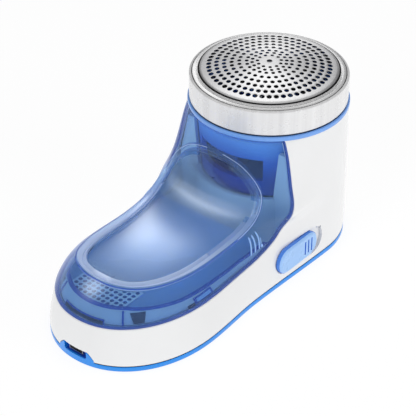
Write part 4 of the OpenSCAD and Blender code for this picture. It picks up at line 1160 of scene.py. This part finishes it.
def liner(name, reach, offsets, heights, material, grid, foot=None):
    """Solid strip on the inside of the skin; foot is its reach at the bottom if different."""
    columns, rows = grid
    low, high = heights
    foot = foot or reach
    verts, faces = [], []
    for i in range(columns + 1):
        for offset in offsets:
            for j in range(rows + 1):
                part = j / rows
                start, end = (lerp(foot[k], reach[k], part) for k in (0, 1))
                where = lerp(start, end, i / columns)
                top = high(LAST - abs(where)) if callable(high) else high
                verts.append(lining_point(where, lerp(low, top, part), offset))
    layer = rows + 1
    for i in range(columns):
        here, there = 2 * layer * i, 2 * layer * (i + 1)
        for j in range(rows):
            faces.append((here + j, there + j, there + j + 1, here + j + 1))
            faces.append((here + layer + j, here + layer + j + 1,
                          there + layer + j + 1, there + layer + j))
        faces.append((here, here + layer, there + layer, there))
        faces.append((here + rows, there + rows, there + layer + rows, here + layer + rows))
    for end in (0, 2 * layer * columns):
        faces += [(end + j, end + j + 1, end + layer + j + 1, end + layer + j)
                  for j in range(rows)]
    return make(name, verts, faces, [material], 40)


def side_liner(name, stations, offsets, heights, material, grid, foot, sign):
    """A liner on the right (sign 1) or left (sign -1), placed by stations."""
    reach = [(LAST - station) * sign for station in stations]
    foot = foot and [(LAST - station) * sign for station in foot]
    name += "_r" if sign > 0 else "_l"
    return liner(name, reach, offsets, heights, material, grid, foot)


TRAY_REACH = LAST - 9.3
# station and height of the tray's upper edge
TRAY_STATIONS = [9.2, 10.1, 11.3, 12.7, 14.0, 15.2, 16.6, 18.0, 19.0]
TRAY_HEIGHTS = [22.2, 21.2, 20.6, 21.1, 21.7, 22.7, 23.6, 23.5, 23.4]


def tray_top(station):
    return float(np.interp(station, TRAY_STATIONS, TRAY_HEIGHTS))


def tray_edge():
    steps = 120
    verts = []
    for i in range(steps + 1):
        where = lerp(-TRAY_REACH, TRAY_REACH, i / steps)
        top = tray_top(LAST - abs(where))
        for offset, z in zip((1.85, 1.85, 2.75, 2.75), (-0.3, 0.25, 0.25, -0.3)):
            verts.append(lining_point(where, top + z, offset))
    faces = loop_faces(steps + 1, 4) + end_caps(steps + 1, 4, 1)
    return make("tray_edge", verts, faces, [EDGE_LINE_AND_SHADE_BLUE], 50)


def tray_floor():
    outline = [lining_point(lerp(-TRAY_REACH, TRAY_REACH, i / 160), 19.0, 2.15)[:2]
               for i in range(161)]
    tray = prism("tray_floor", outline, (0, 0, 18.35), ALONG_Z, 1.1, [BIN_FLOOR], 40,
                 bevel=0.08)
    cut(tray, [prism("filter_opening", rect(-16.6, -105.4, 10.2, -87.6), (0, 0, 16),
                     ALONG_Z, 6)])
    shade(tray, 35)
    return tray


# name, end stations, offsets, heights, material, (columns, rows), end stations at the foot
CATCH_PARTS = [
    ("catch_toe", (16.44, 15.68), (1.63, 1.88), (18.8, 22.4), CATCH_AND_SHADOW_NAVY, (8, 4),
     (16.30, 15.82)),
    ("catch_side", (13.5, 12.5), (1.76, 1.9), (18.35, 20.5), EDGE_LINE_AND_SHADE_BLUE, (8, 4), None),
    ("clip_light", (13.38, 12.62), (1.63, 1.75), (18.85, 20.0), CLIP_LIGHT, (8, 3), None),
    ("clip_shadow", (13.85, 13.5), (1.7, 1.9), (18.1, 19.1), CATCH_AND_SHADOW_NAVY, (4, 3), None),
]
TRAY_SEAM = ("tray_seam", (16.86, 16.76), (1.63, 1.9), (18.3, 23.0), EDGE_LINE_AND_SHADE_BLUE, (2, 6), None)
# name, reach from the toe middle, offsets, heights, material, (columns, rows)
NOTCH_PARTS = [
    # notch_strip is painted shadow inside the finger notch
    ("notch_strip", (-1.22, 1.22), (1.63, 1.8), (18.1, 19.45), SEAM_SHADOW, (40, 3)),
    ("notch_line", (-1.26, 1.26), (1.63, 1.85), (19.45, 19.85), EDGE_LINE_AND_SHADE_BLUE, (40, 2)),
    ("notch_end_r", (1.22, 1.27), (1.63, 1.85), (18.1, 19.45), EDGE_LINE_AND_SHADE_BLUE, (2, 3)),
    ("notch_end_l", (-1.27, -1.22), (1.63, 1.85), (18.1, 19.45), EDGE_LINE_AND_SHADE_BLUE, (2, 3)),
]

wall = liner("tray_wall", (-TRAY_REACH, TRAY_REACH), (1.95, 2.6),
             (18.5, lambda station: tray_top(station) - 0.3), LINER, (120, 6))
edge_band = tray_edge()
tray = tray_floor()
catches = [side_liner(*row, sign) for sign in (1, -1) for row in CATCH_PARTS]
seams = [side_liner(*TRAY_SEAM, sign) for sign in (1, -1)]
notch = [liner(*row) for row in NOTCH_PARTS]
place([tray, wall, edge_band] + seams, "bin", "bin_floor_blue", replaces="bin_floor")
place(catches, "bin", "catch_dark", replaces="bin_catches")
place(notch, "bin", "bin_clear_blue")


def lint_filter():
    """Perforated plate with hole walls painted dark as shade, and a dark sheet under it as
    painted shadow, in the place of the CAD filter.
    """
    low, high = [np.array(corner) * 1000 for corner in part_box("lint_filter")]
    outline = rect(low[0], low[1], high[0], high[1])
    holes = [(low[0] + 1.8 + i * 2.28, low[1] + 1.6 + j * 2.36, 0.86)
             for i in range(11) for j in range(7)]
    loops = [outline] + [circle(*hole, 14, math.pi / 14) for hole in holes]
    points, faces = punched(loops, np.array(holes))
    count = len(points)
    verts = np.vstack([np.c_[points, np.full(count, z + 0.25)] for z in (high[2], low[2])])
    plate = make("filter_mesh", verts, sheet_faces(faces, count), [FILTER, FILTER_SHADE], 35)
    # hole walls take the dark blue as painted shade
    for polygon in plate.data.polygons:
        if abs(polygon.normal.z) < 0.5:
            polygon.material_index = 1
    # painted shadow: a dark sheet under the perforated plate
    shadow_sheet = prism("filter_shadow_sheet", outline, (0, 0, low[2] - 0.1), ALONG_Z, 0.15,
                    [FILTER_SHADE])
    return [plate, shadow_sheet]


place(lint_filter(), "bin", "filter_blue", replaces="lint_filter")


def outline_line(name, ends, gap, radii, material):
    """Thin line on the shoulder, a gap below the crest, on both sides."""
    count = 90
    stations = np.linspace(*ends, count)
    tenth = shoulder(stations, np.full(count, 1.0)) - shoulder(stations, np.full(count, 0.9))
    length = np.maximum(np.linalg.norm(tenth, axis=1), 0.2)
    right = skin(stations, 1 - 0.1 * gap / length, 0.03)
    left = right * MIRROR
    radius = radii[0] + (radii[1] - radii[0]) * smooth(np.linspace(0, 1, count))
    if ends[1] == LAST:
        # both sides meet at the toe middle in one tube
        right[-1, 0] = 0
        return [tube(name, np.vstack([right, left[-2::-1]]),
                     np.concatenate([radius, radius[-2::-1]]), material, 8)]
    return [tube(name + "_r", right, radius, material, 8),
            tube(name + "_l", left, radius, material, 8)]


# start station and across, end station and across, lift off the skin, tube radius
GRIP_RIBS = [
    (9.16, 0.80, 10.14, 0.26, 0.02, 0.34), (8.96, 0.78, 9.90, 0.244, 0.02, 0.34),
    (8.66, 0.765, 9.68, 0.235, 0.02, 0.34), (9.40, 0.30, 9.56, 0.22, 0.02, 0.5),
    (9.05, 0.50, 9.45, 0.30, 0.0, 0.2),
]


def grip_ribs():
    """Raised slashes on the shoulder."""
    part = np.linspace(0, 1, 24)
    swell = np.sqrt(np.maximum(0.02, 1 - (2 * part - 1) ** 8))
    ribs = []
    for sign, suffix in ((1, "r"), (-1, "l")):
        for i, (station_0, across_0, station_1, across_1, lift, radius) in enumerate(GRIP_RIBS):
            path = skin(lerp(station_0, station_1, part), lerp(across_0, across_1, part), lift)
            path[:, 0] *= sign
            ribs.append(tube("grip_rib_%s%d" % (suffix, i), path, radius * swell, RIB_BLUE, 10))
    return ribs


place(outline_line("dish_line", (6.0, LAST), 0.75, (0.05, 0.19), EDGE_LINE_AND_SHADE_BLUE)
      + outline_line("crest_line", (0.6, 9.5), 0.45, (0.10, 0.12), PALE_LINE),
      "bin", "bin_clear_blue")
place(grip_ribs(), "bin", "bin_clear_blue")


# ---------------------------------------------------------------- head base
def drum_wall():
    """Tapered drum wall with a window on the -Y side."""
    heights = np.array([31.6, 32.0, 33.4, 35, 37, 38.8, 41, 44, 47, 48.8, 52, 56, 60.9])
    count, levels = 180, len(heights)
    angles = np.linspace(-np.pi, np.pi, count, endpoint=False)
    verts = []
    for top_radius in (29.0, 27.1):
        for angle in angles:
            for z in heights:
                radius = top_radius - 2.2 * max(0.0, (60.8 - z) / 29.2)
                verts.append((radius * math.sin(angle), -radius * math.cos(angle), z))
    shell = count * levels
    window = np.outer(np.abs(np.degrees(angles + np.pi / count)) < 35,
                      (heights[:-1] >= 38.79) & (heights[1:] <= 48.81))

    def wall_face(start, end):
        """Quad from the outer to the inner shell."""
        return start, end, shell + end, shell + start

    faces = []
    for i in range(count):
        here, beside = i * levels, (i + 1) % count * levels
        for j in range(levels - 1):
            if not window[i, j]:
                quad = (here + j, beside + j, beside + j + 1, here + j + 1)
                faces += [quad, tuple(shell + k for k in quad[:1] + quad[:0:-1])]
        faces += [wall_face(here, beside),
                  wall_face(here + levels - 1, beside + levels - 1)]
    for i, j in np.argwhere(window):
        here, beside = i * levels + j, (i + 1) % count * levels + j
        if not window[i - 1, j]:
            faces.append(wall_face(here, here + 1))
        if not window[(i + 1) % count, j]:
            faces.append(wall_face(beside, beside + 1))
        if not window[i, j - 1]:
            faces.append(wall_face(here, beside))
        if not window[i, j + 1]:
            faces.append(wall_face(here + 1, beside + 1))
    return make("drum_wall", verts, faces, [DRUM_BLUE], 40)


trim_ring = lathe("trim_ring", rounded(
    [(25.6, 60.8), (29.3, 60.8), (29.3, 60.45), (32.5, 60.45), (32.5, 62.35), (29.35, 62.35),
     (29.3, 67.8), (27.1, 67.8), (27.1, 63.0), (25.6, 63.0)],
    [0.2, 0.05, 0.05, 0.5, 0.5, 0.05, 0.3, 0.3, 0.2, 0.2], 5), 220, TRIM_BLUE)
trim_shadow = lathe("trim_shadow", rect(29.4, 62.3, 31.7, 62.8), 200, SEAM_SHADOW)
place([trim_shadow], "housing", "trim_blue")
drum = drum_wall()
drum_floor = lathe("drum_floor", rounded(rect(3.3, 31.62, 24.85, 33.4), 0.15, 3), 160,
                   DRUM_BLUE)
spider = [lathe("spider_hub", rounded(rect(1.6, 52, 4, 56.4), 0.25, 3), 60, TRIM_BLUE)]
for i in range(6):
    angle = math.radians(30 + 60 * i)
    cosine, sine = math.cos(angle), math.sin(angle)
    spider.append(prism("spider_arm_%d" % i, rounded(rect(3.8, -0.9, 26.5, 0.9), 0.2, 3),
                        (0, 0, 52), ((cosine, sine, 0), (-sine, cosine, 0), (0, 0, 1)),
                        3.0, [TRIM_BLUE], 40, bevel=0.2))
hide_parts("head_base")
place([trim_ring, drum, drum_floor] + spider, "housing", "trim_blue")

# ---------------------------------------------------------------- guard ring, foil rim
guard = lathe("guard_ring_v", rounded(
    [(29.5, 62.85), (31.85, 62.85), (31.85, 73.05), (30.85, 73.42), (30.75, 69.8),
     (29.5, 69.8)], [0.2, 0.45, 0.5, 0.08, 0.2, 0.2], 8), 240, PEARL, 50)
place([guard], "guard", "guard_pearl", replaces="guard_ring")
foil_rim = lathe("foil_rim_v", rounded(
    [(26.9, 69.9), (30.5, 69.9), (30.5, 73.5), (29.4, 73.85), (29.25, 73.5), (29.0, 73.5),
     (28.95, 74.15), (28.6, 74.5), (28.3, 74.3), (28.3, 70.9), (26.9, 70.9)],
    [0.1, 0.1, 0.12, 0.1, 0.05, 0.05, 0.25, 0.25, 0.06, 0.1, 0.1], 8), 240, RIM_STEEL, 50)
# painted shadow: a black ring in the gap between the foil edge and the rim
groove = lathe("rim_shadow_ring", [(27.93, 73.0), (28.27, 73.0), (28.27, 73.95), (27.93, 74.3)],
               200, SHADOW_BLACK)
place([groove], "foil_unit", "rim_steel")
place([foil_rim], "foil_unit", "rim_steel", replaces="foil_rim")

# ---------------------------------------------------------------- foil
FOIL_DOME, FOIL_TOP, FOIL_THICKNESS, FOIL_RADIUS = 138.2, 77.7, 0.3, 27.95
OUTER_HOLES = 24  # radius of the outermost ring of holes
# number of holes, ring radius as a share of OUTER_HOLES, hole diameter
HOLE_RINGS = [
    (1, 0.0, 2.3), (11, 0.199, 1.42), (16, 0.287, 1.48), (21, 0.375, 1.56),
    (27, 0.499, 1.66), (34, 0.624, 1.76), (41, 0.749, 1.84), (48, 0.874, 1.92),
    (55, 1.0, 2.08),
]


def foil():
    """Domed sheet with dimpled holes and a rolled edge."""
    flat_edge = 27.66
    loops = [circle(0, 0, FOIL_RADIUS, 180), circle(0, 0, 26.6, 150),
             circle(0, 0, 27.25, 160), circle(0, 0, flat_edge, 160)]
    holes = []
    for ring, (count, share, diameter) in enumerate(HOLE_RINGS):
        for j in range(count):
            angle = 2 * math.pi * (j + 0.5 * (ring % 2)) / count
            x = OUTER_HOLES * share * math.cos(angle)
            y = OUTER_HOLES * share * math.sin(angle)
            holes.append((x, y, diameter / 2))
            loops.append(circle(x, y, diameter / 2, 18))
            loops.append(circle(x, y, diameter / 2 + 0.22, 18, 0.17))
    holes = np.array(holes)
    points, faces = punched(loops, holes)
    radius = np.hypot(points[:, 0], points[:, 1])
    gap = np.maximum(hole_distance(points, holes), 0)
    dome = FOIL_TOP - FOIL_DOME + np.sqrt(FOIL_DOME ** 2 - radius ** 2)
    dimple = 0.07 * np.exp(-(gap / 0.16) ** 2)
    roll = np.where(radius > 27.2, 0.55 * ((radius - 27.2) / 0.75) ** 2, 0)
    verts = np.vstack([np.c_[points, dome - dimple - roll],
                       np.c_[points, dome - FOIL_THICKNESS - roll]])
    sheet = make("foil_v", verts, sheet_faces(faces, len(points)), [FOIL_STEEL, SHADOW_BLACK], 40)
    # hole walls, underside and rolled edge are painted black as shade
    for polygon in sheet.data.polygons:
        centre = polygon.center / MM
        reach = math.hypot(centre.x, centre.y)
        if reach > flat_edge or (reach < 27.5 and polygon.normal.z < 0.5):
            polygon.material_index = 1
    return sheet


foil_sheet = foil()
foil_skirt = lathe("foil_skirt", rounded(rect(27.4, 71.1, 27.9, 73.9), 0.08, 2), 180,
                   FOIL_STEEL)
place([foil_sheet, foil_skirt], "foil_unit", "foil_steel", replaces="foil")

# ---------------------------------------------------------------- float spring
part = np.linspace(0, 1, 220)
turns = 3
coil = np.stack([4.5 * np.cos(part * 2 * turns * np.pi), 4.5 * np.sin(part * 2 * turns * np.pi),
                 63.85 + 1.75 * part], 1)
spring = tube("float_spring", coil, 0.24, stock["blade_spring"], 10)
place([spring], "rotor", "spring_steel", replaces="blade_spring")
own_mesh(spring)


# ---------------------------------------------------------------- switch knob
def knob_face():
    """Raised cap of the knob with three upright grooves."""
    # inset from the cap's edge, height above its base
    profile = [(0.0, 0.0), (0.0, 0.25), (0.35, 0.55), (0.8, 0.78), (1.05, 0.84),
               (1.3, 0.80), (1.8, 0.74)]
    verts = []
    for inset, rise in profile:
        loop = stadium(KNOB_LENGTH - 0.6 - 2 * inset, KNOB_HEIGHT - 0.6 - 2 * inset, 28)
        verts.append(np.c_[np.full(len(loop), 32.6 + rise), KNOB_Y + loop[:, 0],
                           KNOB_Z + loop[:, 1]])
    size = len(profile), len(verts[0])
    face = make("knob_face", np.vstack(verts), loop_faces(*size) + end_caps(*size),
                [KNOB_BLUE, KNOB_EDGE_AND_GROOVE_SHADE], 35)
    cut(face, [prism("groove", stadium(6.4, 0.75, 8), (33.0, KNOB_Y + 4.1 + 2.1 * i, KNOB_Z),
                     ((0, 0, 1), (0, 1, 0), (1, 0, 0)), 2) for i in range(3)])
    # groove faces take the dark edge blue as painted shade
    for polygon in face.data.polygons:
        centre = polygon.center / MM
        if (32.9 < centre.x < 33.3 and abs(centre.z - KNOB_Z) < 3.4
                and KNOB_Y + 3.5 < centre.y < KNOB_Y + 8.9):
            polygon.material_index = 1
    shade(face, 35)
    return face


place([
    prism("knob_body", stadium(KNOB_LENGTH, KNOB_HEIGHT, 28), (31.15, KNOB_Y, KNOB_Z),
          ALONG_X, 1.55, [KNOB_EDGE_AND_GROOVE_SHADE], 35, bevel=0.25),
    knob_face(),
    prism("knob_stem", rounded(rect(-2.2, -1.7, 2.2, 1.7), 0.3, 3), (29.9, KNOB_Y, KNOB_Z),
          ALONG_X, 1.3, [KNOB_EDGE_AND_GROOVE_SHADE], 35),
], "knob", "knob_light_blue", replaces="switch_knob")

# ---------------------------------------------------------------- floor and world
scene = bpy.context.scene


def stage_floor():
    """Pale floor that partly glows, so that it stays near white."""
    material = bpy.data.materials.new("floor_pale")
    shader = Shader(material)
    diffuse = shader.add("BsdfDiffuse", {"Color": (0.92, 0.92, 0.925, 1)})
    glow = shader.add("Emission", {"Color": (1, 1, 1, 1), "Strength": 1.06})
    shader.output(shader.mix_shader(0.85, diffuse, glow))
    mesh = bpy.data.meshes.new("floor")
    half, drop = 4.0, -0.0002
    mesh.from_pydata([(x, y, drop) for x, y in rect(-half, -half, half, half)], [],
                     [(0, 1, 2, 3)])
    floor = bpy.data.objects.new("floor", mesh)
    mesh.materials.append(material)
    scene.collection.objects.link(floor)


def studio_world():
    """White to the camera, a grey gradient to everything else."""
    world = bpy.data.worlds.new("studio")
    scene.world = world
    shader = Shader(world)
    height = shader.remap(shader.split(shader.coords("Generated"))["Z"], (-0.1, 1.0), (0, 1))
    gradient = shader.ramp(height, [(0.0, (0.80, 0.80, 0.81)), (0.22, (0.60, 0.60, 0.61)),
                                    (0.5, (0.52, 0.52, 0.53)), (1.0, (0.85, 0.85, 0.85))])
    lighting = shader.add("Background", {"Color": gradient, "Strength": 0.60})
    backdrop = shader.add("Background", {"Color": (1, 1, 1, 1), "Strength": 1.0})
    camera_ray = shader.node("LightPath").outputs["Is Camera Ray"]
    shader.output(shader.mix_shader(camera_ray, lighting, backdrop), "OutputWorld")


stage_floor()
studio_world()

# ---------------------------------------------------------------- lights
LIGHT_TARGET = Vector((0, -0.05, 0.03))
METAL = [foil_sheet, foil_skirt, foil_rim]
# name, direction from the target, distance, width, height, power, seen in reflections,
# the only bodies lit (None for all)
LIGHTS = [
    ("right_soft", (0.95, 0.24, 0.30), 0.9, 0.45, 0.6, 2.5, False, None),
    ("front_left_soft", (0.02, -0.95, 0.42), 0.9, 0.45, 0.5, 2.5, False, None),
    ("left_front_strip", (-0.52, -0.56, 0.64), 0.8, 0.20, 0.24, 1.9, True, [clear_bin]),
    ("left_back_strip", (-0.38, 0.46, 0.80), 0.8, 0.18, 0.22, 2.8, True, [clear_bin]),
    ("top_soft", (0.1, 0.1, 1.0), 0.8, 0.4, 0.4, 0.5, False, None),
    ("metal_card", (-0.50, 0.60, 0.62), 0.8, 0.6, 0.6, 0.9, True, METAL),
    ("left_mid_strip", (-0.46, 0.10, 0.88), 0.8, 0.12, 0.2, 0.12, True, [clear_bin]),
]
for name, direction, distance, width, height, power, reflected, receivers in LIGHTS:
    data = bpy.data.lights.new(name, "AREA")
    data.energy = power
    data.shape = "RECTANGLE"
    data.size = width
    data.size_y = height
    light = bpy.data.objects.new(name, data)
    location = LIGHT_TARGET + Vector(direction).normalized() * distance
    light.location = location
    light.rotation_euler = (LIGHT_TARGET - location).to_track_quat("-Z", "Y").to_euler()
    scene.collection.objects.link(light)
    light.visible_glossy = reflected
    if receivers:
        lit = bpy.data.collections.new(name + "_receivers")
        for body in receivers:
            lit.objects.link(body)
        light.light_linking.receiver_collection = lit

# ---------------------------------------------------------------- camera and render
yaw, pitch = math.radians(39.6057), math.radians(34.956)
CAMERA_PLACE = (0.3326575, -0.4400303, 0.3921724)
camera_data = bpy.data.cameras.new("cam")
camera = bpy.data.objects.new("cam", camera_data)
scene.collection.objects.link(camera)
backward = Vector((math.sin(yaw) * math.cos(pitch), -math.cos(yaw) * math.cos(pitch),
                   math.sin(pitch)))
rightward = Vector((math.cos(yaw), math.sin(yaw), 0))
upward = backward.cross(rightward)
camera.matrix_world = Matrix([*zip(rightward, upward, backward, CAMERA_PLACE), (0, 0, 0, 1)])
camera_data.sensor_width = 36
camera_data.sensor_fit = "HORIZONTAL"
camera_data.lens = 138.857452
camera_data.clip_start = 0.01
scene.camera = camera
scene.view_settings.view_transform = "Standard"
scene.view_settings.look = "None"
scene.view_settings.exposure = 0.0
scene.view_settings.gamma = 1.0
scene.cycles.max_bounces = 12
scene.cycles.transparent_max_bounces = 24
scene.cycles.use_denoising = True
